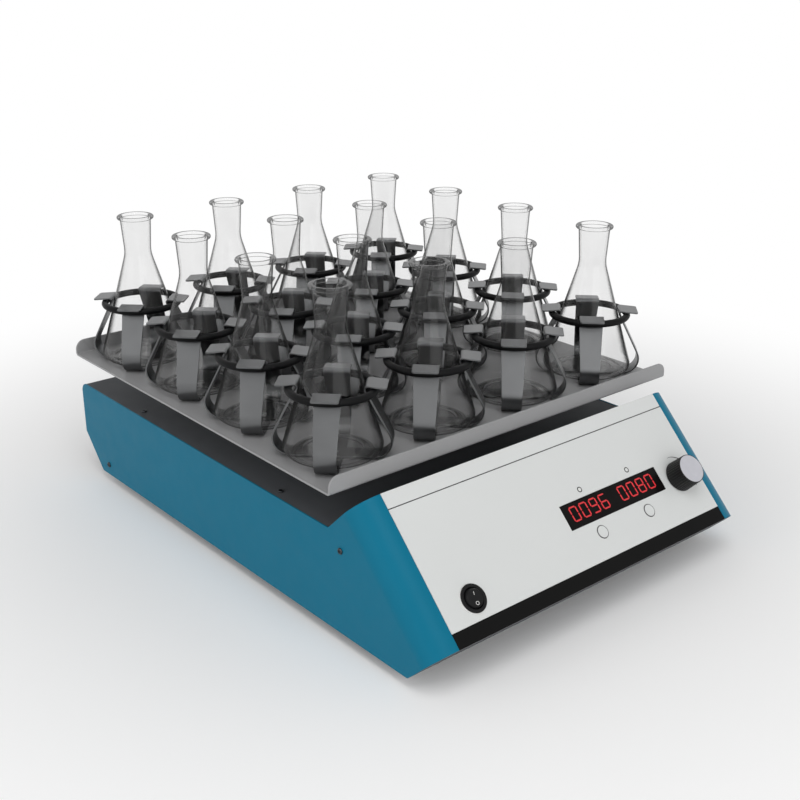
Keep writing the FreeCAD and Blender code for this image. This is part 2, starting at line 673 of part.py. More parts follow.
def switch_body():
    """Round rocker switch body: bezel on the panel, barrel behind it."""
    outline = [(0, -SWITCH_DEPTH), (SWITCH_BARREL_RADIUS, -SWITCH_DEPTH), (SWITCH_BARREL_RADIUS, 0),
               (SWITCH_RADIUS, 0), (SWITCH_RADIUS, SWITCH_BEZEL_HEIGHT, SWITCH_BEZEL_HEIGHT * 0.6),
               (SWITCH_BORE_RADIUS, SWITCH_BEZEL_HEIGHT), (SWITCH_BORE_RADIUS, SWITCH_FLOOR - SWITCH_DEPTH),
               (0, SWITCH_FLOOR - SWITCH_DEPTH)]
    body = turned(outline)
    pivot = Part.makeCylinder(ROCKER_PIN_RADIUS + RUNNING_FIT, 2 * SWITCH_BARREL_RADIUS,
                              V(-SWITCH_BARREL_RADIUS, 0, -ROCKER_PIVOT), V(1, 0, 0))
    return on_console(moved(body.cut(pivot), SWITCH_X, SWITCH_Y, 0))


def power_rocker():
    """Rocker with a shallow V top, on a pin, tipped to its off side."""
    ball = SWITCH_BORE_RADIUS - SEATING_GAP
    pivot_z = -ROCKER_PIVOT
    rise = ball * math.tan(math.radians(ROCKER_TILT))
    crown = ROCKER_LOW - pivot_z
    profile = [(-ball, -ROCKER_DEPTH / 2), (ball, -ROCKER_DEPTH / 2), (ball, crown + rise), (0, crown),
               (-ball, crown + rise)]
    wedge = outline_face(profile, side_view(-ball)).extrude(V(2 * ball, 0, 0))
    rocker = wedge.common(Part.makeSphere(ball))
    pin = Part.makeCylinder(ROCKER_PIN_RADIUS, 2 * SWITCH_BARREL_RADIUS,
                            V(-SWITCH_BARREL_RADIUS, 0, 0), V(1, 0, 0))
    rocker = joined([rocker, pin])
    rocker.rotate(V(0, 0, 0), V(1, 0, 0), ROCKER_TILT)
    return on_console(moved(rocker, SWITCH_X, SWITCH_Y, pivot_z))


def encoder():
    """Encoder on the board: square body and a bush through the panel."""
    half = ENCODER_BODY / 2
    body = box(-half, half, -half, half, -BOARD_DEPTH, -PANEL_SHEET)
    bush = rod(0, 0, -PANEL_SHEET, ENCODER_BUSH_LENGTH, ENCODER_BUSH_RADIUS)
    nut_face = Part.Face(Part.makePolygon([V(KNOB_SKIRT_RADIUS * 0.8 * math.cos(math.radians(a)),
                                             KNOB_SKIRT_RADIUS * 0.8 * math.sin(math.radians(a)), 0)
                                           for a in range(0, 361, 60)]))
    nut = nut_face.extrude(V(0, 0, 2 * SHEET))
    bore = rod(0, 0, -BOARD_DEPTH + SHEET, ENCODER_BUSH_LENGTH, ENCODER_SHAFT_RADIUS + RUNNING_FIT)
    return on_console(moved(joined([body, bush, nut]).cut(bore), KNOB_X, KNOB_Y, 0))


def encoder_shaft():
    """Encoder shaft, from the encoder body to the knob."""
    top = KNOB_HEIGHT - 3 * CAP_THICKNESS
    shaft = rod(KNOB_X, KNOB_Y, -BOARD_DEPTH + SHEET + SEATING_GAP, top, ENCODER_SHAFT_RADIUS)
    return on_console(shaft)


def speed_knob():
    """Fluted, slightly tapered knob, hollow underneath round the encoder nut."""
    outline = [(0, KNOB_FLOAT), (KNOB_BASE_RADIUS, KNOB_FLOAT, 0.5), (KNOB_TOP_RADIUS, KNOB_HEIGHT, 0.5),
               (0, KNOB_HEIGHT)]
    body = turned(outline)
    step = 2 * math.pi / KNOB_FLUTES
    flutes = []
    for i in range(KNOB_FLUTES):
        x = KNOB_BASE_RADIUS * math.cos(i * step)
        y = KNOB_BASE_RADIUS * math.sin(i * step)
        flutes.append(rod(x, y, 0, KNOB_HEIGHT, KNOB_FLUTE_DEPTH))
    skirt = rod(0, 0, 0, KNOB_SKIRT_DEPTH, KNOB_SKIRT_RADIUS)
    bore = rod(0, 0, 0, KNOB_HEIGHT - 3 * CAP_THICKNESS + SEAT_GAP, ENCODER_SHAFT_RADIUS + RUNNING_FIT)
    seat = rod(0, 0, KNOB_HEIGHT - CAP_THICKNESS, KNOB_HEIGHT, CAP_RADIUS + SEAT_GAP / 2)
    body = body.cut(Part.makeCompound(flutes)).cut(joined([skirt, bore])).cut(seat)
    return on_console(moved(body, KNOB_X, KNOB_Y, 0))


def knob_cap():
    """Light metal disc let into the knob's face."""
    return on_console(rod(KNOB_X, KNOB_Y, KNOB_HEIGHT - CAP_THICKNESS, KNOB_HEIGHT, CAP_RADIUS))


# Drive
def crank_places():
    """Axes of the drive crank and of the idler cranks, in plan."""
    places = [(0.0, CRANK_Y)]
    for i in range(IDLER_COUNT):
        angle = math.radians(90 + i * 360 / IDLER_COUNT)
        places.append((IDLER_CIRCLE * math.cos(angle), CRANK_Y + IDLER_CIRCLE * math.sin(angle)))
    return places


def post_places():
    """Places of the four posts under the chassis plate."""
    dx = CHASSIS_WIDTH / 2 - POST_INSET
    dy = CHASSIS_DEPTH / 2 - POST_INSET
    return [(x, CHASSIS_CENTRE_Y + y) for x in (-dx, dx) for y in (-dy, dy)]


def drive_chassis():
    """Thick plate on four posts, which carries the bearings and the motor."""
    dx = CHASSIS_WIDTH / 2
    dy = CHASSIS_DEPTH / 2
    corners = [(-dx, CHASSIS_CENTRE_Y - dy, CHASSIS_CORNER), (dx, CHASSIS_CENTRE_Y - dy, CHASSIS_CORNER),
               (dx, CHASSIS_CENTRE_Y + dy, CHASSIS_CORNER), (-dx, CHASSIS_CENTRE_Y + dy, CHASSIS_CORNER)]
    bottom = CHASSIS_TOP - CHASSIS_PLATE
    plate = outline_face(corners, plan_view(bottom)).extrude(V(0, 0, CHASSIS_PLATE))
    posts = [rod(x, y, TRAY_TOP, bottom, POST_RADIUS) for x, y in post_places()]
    cuts = [rod(x, y, bottom, CHASSIS_TOP, HOUSING_BODY_RADIUS + SEAT_GAP) for x, y in crank_places()]
    cuts.append(rod(0, MOTOR_Y, bottom, CHASSIS_TOP, MOTOR_BOSS_RADIUS + SEAT_GAP))
    return joined([plate] + posts).cut(Part.makeCompound(cuts))


def bearing_housing():
    """Flanged housing, turned about Z at the origin, with a seat at each end."""
    top = CHASSIS_TOP + HOUSING_FLANGE
    seat = BEARING_RADIUS
    relief = BEARING_RADIUS - 2 * SHEET
    outline = [(relief, HOUSING_BOTTOM + BEARING_WIDTH), (seat, HOUSING_BOTTOM + BEARING_WIDTH),
               (seat, HOUSING_BOTTOM), (HOUSING_BODY_RADIUS, HOUSING_BOTTOM),
               (HOUSING_BODY_RADIUS, CHASSIS_TOP), (HOUSING_FLANGE_RADIUS, CHASSIS_TOP),
               (HOUSING_FLANGE_RADIUS, top), (seat, top), (seat, top - BEARING_WIDTH),
               (relief, top - BEARING_WIDTH)]
    body = turned(outline)
    holes = []
    circle = HOUSING_SCREW_CIRCLE / 2
    for i in range(4):
        angle = math.radians(45 + 90 * i)
        holes.append(rod(circle * math.cos(angle), circle * math.sin(angle), CHASSIS_TOP, top,
                         2 * SCREW_SHANK_RADIUS))
    return body.cut(Part.makeCompound(holes))


def ball_bearing(outer, inner, width):
    """Shielded ball bearing as one ring with a shallow groove in each face."""
    third = (outer - inner) / 3
    dish = width / 10
    near = inner + third
    far = outer - third
    outline = [(inner, 0), (near, 0), (near, dish), (far, dish), (far, 0), (outer, 0), (outer, width),
               (far, width), (far, width - dish), (near, width - dish), (near, width), (inner, width)]
    return turned(outline)


def bearing_housings():
    """The four bearing housings."""
    return Part.makeCompound([moved(bearing_housing(), x, y, 0) for x, y in crank_places()])


def shaft_bearings():
    """Two bearings in each housing."""
    ring = ball_bearing(BEARING_RADIUS, SHAFT_RADIUS + RUNNING_FIT, BEARING_WIDTH)
    heights = (HOUSING_BOTTOM, CHASSIS_TOP + HOUSING_FLANGE - BEARING_WIDTH)
    return Part.makeCompound([moved(ring, x, y, z) for x, y in crank_places() for z in heights])


def crank_body():
    """Crank at the origin: shaft, hub and eccentric pin, which points to the console."""
    shaft = rod(0, 0, HOUSING_BOTTOM, HUB_BOTTOM, SHAFT_RADIUS)
    hub_outline = [(0, HUB_BOTTOM), (HUB_RADIUS, HUB_BOTTOM, 1.0), (HUB_RADIUS, HUB_TOP, 1.0), (0, HUB_TOP)]
    hub = turned(hub_outline)
    bearing_bottom = BOSS_BOTTOM + BEARING_RECESS
    shoulder = rod(0, -ORBIT_RADIUS, HUB_TOP, bearing_bottom - SEATING_GAP, PIN_SHOULDER_RADIUS)
    pin = rod(0, -ORBIT_RADIUS, HUB_TOP, bearing_bottom + PIN_BEARING_WIDTH + SHEET, PIN_RADIUS)
    return joined([shaft, hub, shoulder, pin])


def drive_crank():
    """Driven crank with a half-round counterweight opposite its pin."""
    bottom = COUNTERWEIGHT_TOP - COUNTERWEIGHT_THICKNESS
    disc = rod(0, 0, bottom, COUNTERWEIGHT_TOP, COUNTERWEIGHT_RADIUS)
    reach = COUNTERWEIGHT_RADIUS
    keep = box(-reach, reach, -SHAFT_RADIUS, reach, bottom, COUNTERWEIGHT_TOP)
    weight = disc.common(keep)
    return moved(joined([crank_body(), weight]), 0, CRANK_Y, 0)


def idler_crank(number):
    """Idler crank by its number, from 1."""
    x, y = crank_places()[number]
    return moved(crank_body(), x, y, 0)


def toothed_disc(teeth, z0, z1):
    """Toothed pulley rim at the origin."""
    radius = teeth * BELT_PITCH / (2 * math.pi)
    step = 2 * math.pi / teeth
    points = []
    for i in range(teeth):
        for share, r in ((-0.28, radius), (-0.16, radius - TOOTH_DEPTH), (0.16, radius - TOOTH_DEPTH),
                         (0.28, radius)):
            angle = (i + share) * step
            points.append((r * math.cos(angle), r * math.sin(angle)))
    return outline_face(points, plan_view(z0)).extrude(V(0, 0, z1 - z0))


def drive_pulley():
    """Large pulley on the drive crank, with a web between rim and hub."""
    top = PULLEY_BOTTOM + PULLEY_WIDTH
    rim_inner = DRIVE_TEETH * BELT_PITCH / (2 * math.pi) - 4 * TOOTH_DEPTH
    hub_outer = 2 * SHAFT_RADIUS
    web = PULLEY_WIDTH / 3
    disc = toothed_disc(DRIVE_TEETH, PULLEY_BOTTOM, top)
    dish = tube(0, 0, 0, web, rim_inner, hub_outer)
    bore = rod(0, 0, PULLEY_BOTTOM, top, SHAFT_RADIUS + RUNNING_FIT)
    disc = disc.cut(Part.makeCompound([moved(dish, 0, 0, PULLEY_BOTTOM), moved(dish, 0, 0, top - web)]))
    return moved(disc.cut(bore), 0, CRANK_Y, 0)


def motor_pulley():
    """Small flanged pulley and the motor shaft that it sits on."""
    top = PULLEY_BOTTOM + PULLEY_WIDTH
    rim = toothed_disc(MOTOR_TEETH, PULLEY_BOTTOM, top)
    lower = rod(0, 0, PULLEY_BOTTOM - PULLEY_FLANGE, PULLEY_BOTTOM, PULLEY_FLANGE_RADIUS)
    upper = rod(0, 0, top, top + PULLEY_FLANGE, PULLEY_FLANGE_RADIUS)
    bore = rod(0, 0, PULLEY_BOTTOM - PULLEY_FLANGE, top + PULLEY_FLANGE, MOTOR_SHAFT_RADIUS + RUNNING_FIT)
    pulley = joined([rim, lower, upper]).cut(bore)
    shaft = rod(0, 0, MOTOR_BOTTOM + 2 * SHEET + SEATING_GAP, top + PULLEY_FLANGE, MOTOR_SHAFT_RADIUS)
    return moved(Part.makeCompound([pulley, shaft]), 0, MOTOR_Y, 0)


def motor():
    """Motor can under the chassis plate, its boss in the plate's hole."""
    flange = CHASSIS_TOP - CHASSIS_PLATE
    outline = [(0, MOTOR_BOTTOM), (MOTOR_RADIUS, MOTOR_BOTTOM, 3.0), (MOTOR_RADIUS, flange, 1.0),
               (MOTOR_BOSS_RADIUS, flange), (MOTOR_BOSS_RADIUS, CHASSIS_TOP), (0, CHASSIS_TOP)]
    bore = rod(0, 0, MOTOR_BOTTOM + 2 * SHEET, CHASSIS_TOP, MOTOR_SHAFT_RADIUS + RUNNING_FIT)
    return moved(turned(outline).cut(bore), 0, MOTOR_Y, 0)


def belt_loop(extra):
    """Face of the area inside a belt line that lies outside the pitch circles by extra."""
    big = DRIVE_TEETH * BELT_PITCH / (2 * math.pi) + extra
    small = MOTOR_TEETH * BELT_PITCH / (2 * math.pi) + extra
    lean = math.asin((big - small) / MOTOR_DISTANCE)
    z = PULLEY_BOTTOM + (PULLEY_WIDTH - BELT_WIDTH) / 2

    def tangent(side, radius, centre_y):
        return V(side * radius * math.cos(lean), centre_y - radius * math.sin(lean), z)

    drive = Part.Arc(tangent(1, big, CRANK_Y), V(0, CRANK_Y + big, z), tangent(-1, big, CRANK_Y))
    left = Part.LineSegment(tangent(-1, big, CRANK_Y), tangent(-1, small, MOTOR_Y))
    nose = Part.Arc(tangent(-1, small, MOTOR_Y), V(0, MOTOR_Y - small, z), tangent(1, small, MOTOR_Y))
    right = Part.LineSegment(tangent(1, small, MOTOR_Y), tangent(1, big, CRANK_Y))
    return Part.Face(Part.Wire([curve.toShape() for curve in (drive, left, nose, right)]))


def drive_belt():
    """Belt round both pulleys."""
    outer = belt_loop(BELT_GAP + BELT_THICKNESS).extrude(V(0, 0, BELT_WIDTH))
    inner = belt_loop(BELT_GAP).extrude(V(0, 0, BELT_WIDTH))
    return outer.cut(inner)


def power_supply():
    """Supply unit on the tray: housing with a stepped lid and two mounting ears."""
    x0 = SUPPLY_X - SUPPLY_WIDTH / 2
    x1 = SUPPLY_X + SUPPLY_WIDTH / 2
    y0 = SUPPLY_Y - SUPPLY_LENGTH / 2
    y1 = SUPPLY_Y + SUPPLY_LENGTH / 2
    body = box(x0, x1, y0, y1, TRAY_TOP, TRAY_TOP + SUPPLY_HEIGHT)
    step = box(x0, x0 + FLANGE_WIDTH, y0, y1, TRAY_TOP + SUPPLY_HEIGHT / 2, TRAY_TOP + SUPPLY_HEIGHT)
    ears = box(x0 + FLANGE_WIDTH, x1 - FLANGE_WIDTH, y0 - FLANGE_WIDTH / 2, y1 + FLANGE_WIDTH / 2,
               TRAY_TOP, TRAY_TOP + SHEET)
    return joined([body.cut(step), ears])


def power_inlet():
    """Three-pole mains inlet through the rear panel, with its shaped recess and blades."""
    flange_corners = [(INLET_X - INLET_WIDTH / 2, INLET_Z - INLET_HEIGHT / 2, 3.0),
                      (INLET_X + INLET_WIDTH / 2, INLET_Z - INLET_HEIGHT / 2, 3.0),
                      (INLET_X + INLET_WIDTH / 2, INLET_Z + INLET_HEIGHT / 2, 3.0),
                      (INLET_X - INLET_WIDTH / 2, INLET_Z + INLET_HEIGHT / 2, 3.0)]
    flange = outline_face(flange_corners, front_view(REAR_Y)).extrude(V(0, INLET_FLANGE, 0))
    body = box(INLET_X - INLET_BODY_WIDTH / 2, INLET_X + INLET_BODY_WIDTH / 2, REAR_Y - INLET_BODY_DEPTH,
               REAR_Y, INLET_Z - INLET_BODY_HEIGHT / 2, INLET_Z + INLET_BODY_HEIGHT / 2)
    w = SOCKET_WIDTH / 2
    h = SOCKET_HEIGHT / 2
    corner = SOCKET_HEIGHT / 3
    recess_corners = [(INLET_X - w, INLET_Z - h, 1.0), (INLET_X + w, INLET_Z - h, 1.0),
                      (INLET_X + w, INLET_Z + h - corner), (INLET_X + w - corner, INLET_Z + h),
                      (INLET_X - w + corner, INLET_Z + h), (INLET_X - w, INLET_Z + h - corner)]
    mouth = REAR_Y + INLET_FLANGE
    recess = outline_face(recess_corners, front_view(mouth)).extrude(V(0, -SOCKET_DEPTH, 0))
    shell = joined([flange, body]).cut(recess)
    blades = []
    for dx, dz in ((-7.0, -1.5), (0.0, 2.5), (7.0, -1.5)):
        blades.append(box(INLET_X + dx - 1, INLET_X + dx + 1, mouth - SOCKET_DEPTH, mouth - SHEET * 2,
                          INLET_Z + dz - 2, INLET_Z + dz + 2))
    return joined([shell] + blades)


# Feet and screws
def foot_places():
    """Places of the four feet in plan."""
    x = HALF - FOOT_SIDE_INSET
    front = console_point(0, -CONSOLE_THICKNESS)[0] + FOOT_END_INSET
    rear = REAR_Y - REAR_CHAMFER_DEPTH - FOOT_END_INSET
    return [(side, y) for side in (-x, x) for y in (front, rear)]


def feet():
    """Four tapered feet, each with a barbed stud through the tray."""
    stud = SCREW_SHANK_RADIUS
    tip = TRAY_TOP + 2 * SHEET
    outline = [(0, 0), (FOOT_RADIUS, 0, 1.5), (FOOT_TOP_RADIUS, FOOT_HEIGHT), (stud, FOOT_HEIGHT),
               (stud, TRAY_TOP), (stud + 2 * SEAT_GAP, TRAY_TOP), (stud, tip), (0, tip)]
    return Part.makeCompound([moved(turned(outline), x, y, 0) for x, y in foot_places()])


def screw(head_radius, head, shank_radius, length):
    """Screw at the origin: head on the plane z = 0, shank down."""
    crown = [(0, 0), (head_radius, 0), (head_radius, head, head * 0.7), (0, head)]
    return joined([turned(crown), rod(0, 0, -length, 0, shank_radius)])


def top_screw_places():
    """Places of the screws that hold the top plate."""
    ys = (CRANK_Y - TOP_SCREW_FRONT, CRANK_Y + TOP_SCREW_REAR)
    return [(x, y) for x in (-TOP_SCREW_X, TOP_SCREW_X) for y in ys]


def housing_screws():
    """Screws of the side panels and of the top plate."""
    one = screw(SCREW_HEAD_RADIUS, SCREW_HEAD, SCREW_SHANK_RADIUS, SCREW_LENGTH)
    parts = []
    for y, z in side_screw_places():
        left = one.copy()
        left.rotate(V(0, 0, 0), V(0, 1, 0), -90)
        left.translate(V(-HALF, y, z))
        parts.append(left)
        parts.append(mirrored(left))
    for x, y in top_screw_places():
        parts.append(moved(one, x, y, PLATE_TOP))
    return Part.makeCompound(parts)


# Platform
def platform_screw_places():
    """Places of the screws that hold the platform on its frame."""
    reach = PLATFORM_SCREW_OFFSET
    return [(x, PLATFORM_Y + y) for x in (-reach, reach) for y in (-reach, reach)]


def flask_places():
    """Centres of the flasks, by row from the front and column from the left."""
    return [(FIRST_COLUMN + column * COLUMN_PITCH, FIRST_ROW + row * ROW_PITCH)
            for row in range(ROWS) for column in range(ROWS)]


def platform():
    """Platform sheet with upturned front and rear lips, corners rounded."""
    front = PLATFORM_Y - PLATFORM_DEPTH / 2
    rear = PLATFORM_Y + PLATFORM_DEPTH / 2
    top = PLATFORM_BOTTOM + LIP_HEIGHT
    half = PLATFORM_WIDTH / 2
    path = [(front, top), (front, PLATFORM_BOTTOM, LIP_BEND), (rear, PLATFORM_BOTTOM, LIP_BEND), (rear, top)]
    sheet = bent_sheet(path, PLATFORM_SHEET, side_view(-half)).extrude(V(PLATFORM_WIDTH, 0, 0))
    corners = [(-half, PLATFORM_BOTTOM), (half, PLATFORM_BOTTOM), (half, top, LIP_CORNER),
               (-half, top, LIP_CORNER)]
    envelope = outline_face(corners, front_view(front)).extrude(V(0, PLATFORM_DEPTH, 0))
    sheet = sheet.common(envelope)
    cuts = []
    for x, y in flask_places():
        cuts.append(rod(x, y, PLATFORM_BOTTOM, PLATFORM_TOP, CLAMP_SCREW_RADIUS + SEAT_GAP))
    for x, y in platform_screw_places():
        cuts.append(countersunk(x, y, SEAT_GAP / 2))
    return sheet.cut(Part.makeCompound(cuts))


def countersunk(x, y, margin):
    """Countersunk platform screw, or its hole when a margin is given."""
    radius = 2 * SCREW_SHANK_RADIUS
    head = radius + PLATFORM_SHEET
    outline = [(0, -PLATFORM_SHEET), (radius + margin, -PLATFORM_SHEET), (head + margin, 0), (0, 0)]
    return moved(turned(outline), x, y, PLATFORM_TOP)


def platform_frame():
    """Cast frame: round plate with ribs between four bearing bosses, open below the inner clamps."""
    bottom = PLATFORM_BOTTOM - FRAME_PLATE
    pieces = [rod(0, PLATFORM_Y, bottom, PLATFORM_BOTTOM, FRAME_RADIUS)]
    centres = [(x, y - ORBIT_RADIUS) for x, y in crank_places()]
    for x, y in centres[1:]:
        rib = box(0, IDLER_CIRCLE, -FRAME_RIB / 2, FRAME_RIB / 2, (bottom + BOSS_BOTTOM) / 2, bottom)
        rib.rotate(V(0, 0, 0), V(0, 0, 1), math.degrees(math.atan2(y - PLATFORM_Y, x)))
        pieces.append(moved(rib, 0, PLATFORM_Y, 0))
    for x, y in centres:
        pieces.append(rod(x, y, BOSS_BOTTOM, PLATFORM_BOTTOM, BOSS_RADIUS))
    frame = joined(pieces)
    cuts = []
    seat_top = BOSS_BOTTOM + BEARING_RECESS + PIN_BEARING_WIDTH
    for x, y in centres:
        cuts.append(rod(x, y, BOSS_BOTTOM, seat_top, PIN_BEARING_RADIUS))
        cuts.append(rod(x, y, BOSS_BOTTOM, seat_top + 2 * SHEET, PIN_BEARING_RADIUS - 2 * SHEET))
    for x, y in flask_places():
        if math.hypot(x, y - PLATFORM_Y) < COLUMN_PITCH:
            cuts.append(rod(x, y, bottom, PLATFORM_BOTTOM, FRAME_WINDOW_RADIUS))
    for x, y in platform_screw_places():
        cuts.append(rod(x, y, bottom, PLATFORM_BOTTOM, 2 * SCREW_SHANK_RADIUS + SEAT_GAP))
    return frame.cut(Part.makeCompound(cuts))


def pin_bearings():
    """Bearings in the frame's bosses, which ride on the crank pins."""
    ring = ball_bearing(PIN_BEARING_RADIUS, PIN_RADIUS + RUNNING_FIT, PIN_BEARING_WIDTH)
    z = BOSS_BOTTOM + BEARING_RECESS
    return Part.makeCompound([moved(ring, x, y - ORBIT_RADIUS, z) for x, y in crank_places()])


def platform_screws():
    """Countersunk screws from the platform into the frame."""
    parts = []
    for x, y in platform_screw_places():
        shank = rod(x, y, PLATFORM_BOTTOM - FRAME_PLATE, PLATFORM_BOTTOM, 2 * SCREW_SHANK_RADIUS)
        parts.append(joined([countersunk(x, y, 0.0), shank]))
    return Part.makeCompound(parts)


# Clamps
def strip_profile(lift):
    """Half of a clamp strip in (r, z): base, rounded bend, leaning finger and hook over the ring.

    The finger is the common tangent of the bend and of the ring's section where the ring crosses the
    finger's edges. The lift is how far the strip lies above the platform.
    """
    droop = math.radians(HOOK_SLOPE)
    bend_r = FINGER_REACH - FINGER_BEND
    ring_z = RING_HEIGHT - lift
    reach = math.sqrt(RING_RADIUS ** 2 - (FINGER_TOP_WIDTH / 2) ** 2) - bend_r
    rise = ring_z - FINGER_BEND
    apart = FINGER_BEND + RING_SECTION + RING_GAP
    lean = math.atan2(rise, reach) - math.acos(apart / math.hypot(reach, rise))
    run = (ring_z + HOOK_RISE - FINGER_BEND * (1 + math.sin(lean))) / math.cos(lean)
    hook_r = bend_r + (FINGER_BEND + HOOK_RADIUS) * math.cos(lean) - run * math.sin(lean)
    hook_z = ring_z + HOOK_RISE + HOOK_RADIUS * math.sin(lean)

    def on_bend(radius, angle):
        return V(bend_r + radius * math.cos(angle), 0, FINGER_BEND + radius * math.sin(angle))

    def on_hook(radius, angle):
        return V(hook_r + radius * math.cos(angle), 0, hook_z + radius * math.sin(angle))

    down = -math.pi / 2
    bend_middle = (lean + down) / 2
    hook_start = math.pi + lean
    hook_stop = math.pi / 2 - droop
    hook_middle = (hook_start + hook_stop) / 2
    outer = (FINGER_BEND, HOOK_RADIUS)
    inner = (FINGER_BEND - STRIP, HOOK_RADIUS + STRIP)
    flap_start = on_hook(HOOK_RADIUS, hook_stop)
    flap = V(math.cos(droop), 0, -math.sin(droop)) * ((HOOK_REACH - flap_start.x) / math.cos(droop))
    curves = []
    for bend, hook in (outer, inner):
        curves.append(Part.Arc(on_bend(bend, down), on_bend(bend, bend_middle), on_bend(bend, lean)))
        curves.append(Part.LineSegment(on_bend(bend, lean), on_hook(hook, hook_start)))
        curves.append(Part.Arc(on_hook(hook, hook_start), on_hook(hook, hook_middle),
                               on_hook(hook, hook_stop)))
        curves.append(Part.LineSegment(on_hook(hook, hook_stop), on_hook(hook, hook_stop) + flap))
        curves.append(Part.LineSegment(V(0, 0, FINGER_BEND - bend), on_bend(bend, down)))
    curves.append(Part.LineSegment(V(0, 0, 0), V(0, 0, STRIP)))
    curves.append(Part.LineSegment(flap_start + flap, on_hook(HOOK_RADIUS + STRIP, hook_stop) + flap))
    ordered = Part.__sortEdges__([curve.toShape() for curve in curves])
    return Part.Face(Part.Wire(ordered))


def clamp_strip(lift):
    """One spring strip along X at the origin: two opposite fingers and the base between them."""
    ring_z = RING_HEIGHT - lift
    top = ring_z + HOOK_RISE + 3 * HOOK_RADIUS
    low = FINGER_BASE_WIDTH / 2
    high = low + (FINGER_TOP_WIDTH / 2 - low) * (top - FINGER_BEND) / (ring_z - FINGER_BEND)
    half = strip_profile(lift).extrude(V(0, 2 * high, 0))
    half.translate(V(0, -high, 0))
    taper = [(-low, 0), (low, 0), (low, FINGER_BEND), (high, top), (-high, top), (-low, FINGER_BEND)]
    half = half.common(outline_face(taper, side_view(0)).extrude(V(FINGER_REACH, 0, 0)))
    tip = [(0, -high), (HOOK_REACH, -high, HOOK_CORNER), (HOOK_REACH, high, HOOK_CORNER), (0, high)]
    upper = outline_face(tip, plan_view(ring_z)).extrude(V(0, 0, top))
    lower = box(0, FINGER_REACH, -high, high, 0, ring_z)
    half = half.common(upper.fuse(lower))
    strip = joined([half, half.mirror(V(0, 0, 0), V(1, 0, 0))])
    return strip.cut(rod(0, 0, 0, STRIP, CLAMP_SCREW_RADIUS + SEAT_GAP))


def clamp():
    """Two crossed strips at 45 degrees, the second on top of the first."""
    lower = clamp_strip(0.0)
    lower.rotate(V(0, 0, 0), V(0, 0, 1), 45)
    upper = moved(clamp_strip(STRIP), 0, 0, STRIP)
    upper.rotate(V(0, 0, 0), V(0, 0, 1), -45)
    return [lower, upper]


def clamps_row(row):
    """The four clamps of a row, by its number from the front, from 1."""
    pair = clamp()
    parts = []
    for x, y in flask_places()[(row - 1) * ROWS:row * ROWS]:
        for strip in pair:
            parts.append(moved(strip, x, y, PLATFORM_TOP))
    return Part.makeCompound(parts)


def clamp_rings():
    """Sixteen rings that hold the fingers together."""
    ring = Part.makeTorus(RING_RADIUS, RING_SECTION)
    z = PLATFORM_TOP + RING_HEIGHT
    return Part.makeCompound([moved(ring, x, y, z) for x, y in flask_places()])


def clamp_screws():
    """One screw through the middle of each clamp into the platform."""
    length = 2 * STRIP + PLATFORM_SHEET + FRAME_PLATE / 2
    one = screw(CLAMP_HEAD_RADIUS, CLAMP_HEAD, CLAMP_SCREW_RADIUS, length)
    return Part.makeCompound([moved(one, x, y, FLASK_BASE_Z) for x, y in flask_places()])


# Flasks
def flask():
    """Conical flask at the origin: punted base, rounded heel, cone, flared neck and rim."""
    lean = math.atan2(FLASK_BASE_RADIUS - FLASK_WAIST_RADIUS, FLASK_WAIST_HEIGHT)
    heel_r = FLASK_BASE_RADIUS + FLASK_HEEL * (1 / math.tan((math.pi / 2 - lean) / 2) - 1)
    neck_top = FLASK_HEIGHT - FLASK_RIM
    outer = [(0, FLASK_PUNT), (FLASK_PUNT_RADIUS, FLASK_PUNT, FLASK_HEEL),
             (FLASK_FOOT_RADIUS, 0, FLASK_HEEL / 2), (heel_r, 0, FLASK_HEEL),
             (FLASK_WAIST_RADIUS, FLASK_WAIST_HEIGHT, FLASK_WAIST_BEND), (FLASK_NECK_RADIUS, neck_top)]
    inner = offset_path(outer, FLASK_WALL)[::-1]
    rim = FLASK_RIM / 2 - 0.05
    bore = inner[0][0]
    mouth = [(FLASK_NECK_RADIUS, neck_top), (FLASK_RIM_RADIUS, neck_top, rim),
             (FLASK_RIM_RADIUS, FLASK_HEIGHT, rim), (bore, FLASK_HEIGHT, 1.0)]
    return turned(outer[:-1] + mouth + inner[1:])


def write(node, shape):
    """Write one node's STEP file and say what it holds."""
    shape.exportStep("parts/" + node + ".step")
    print(node, len(shape.Solids), "solids, valid" if shape.isValid() else "solids, NOT VALID")


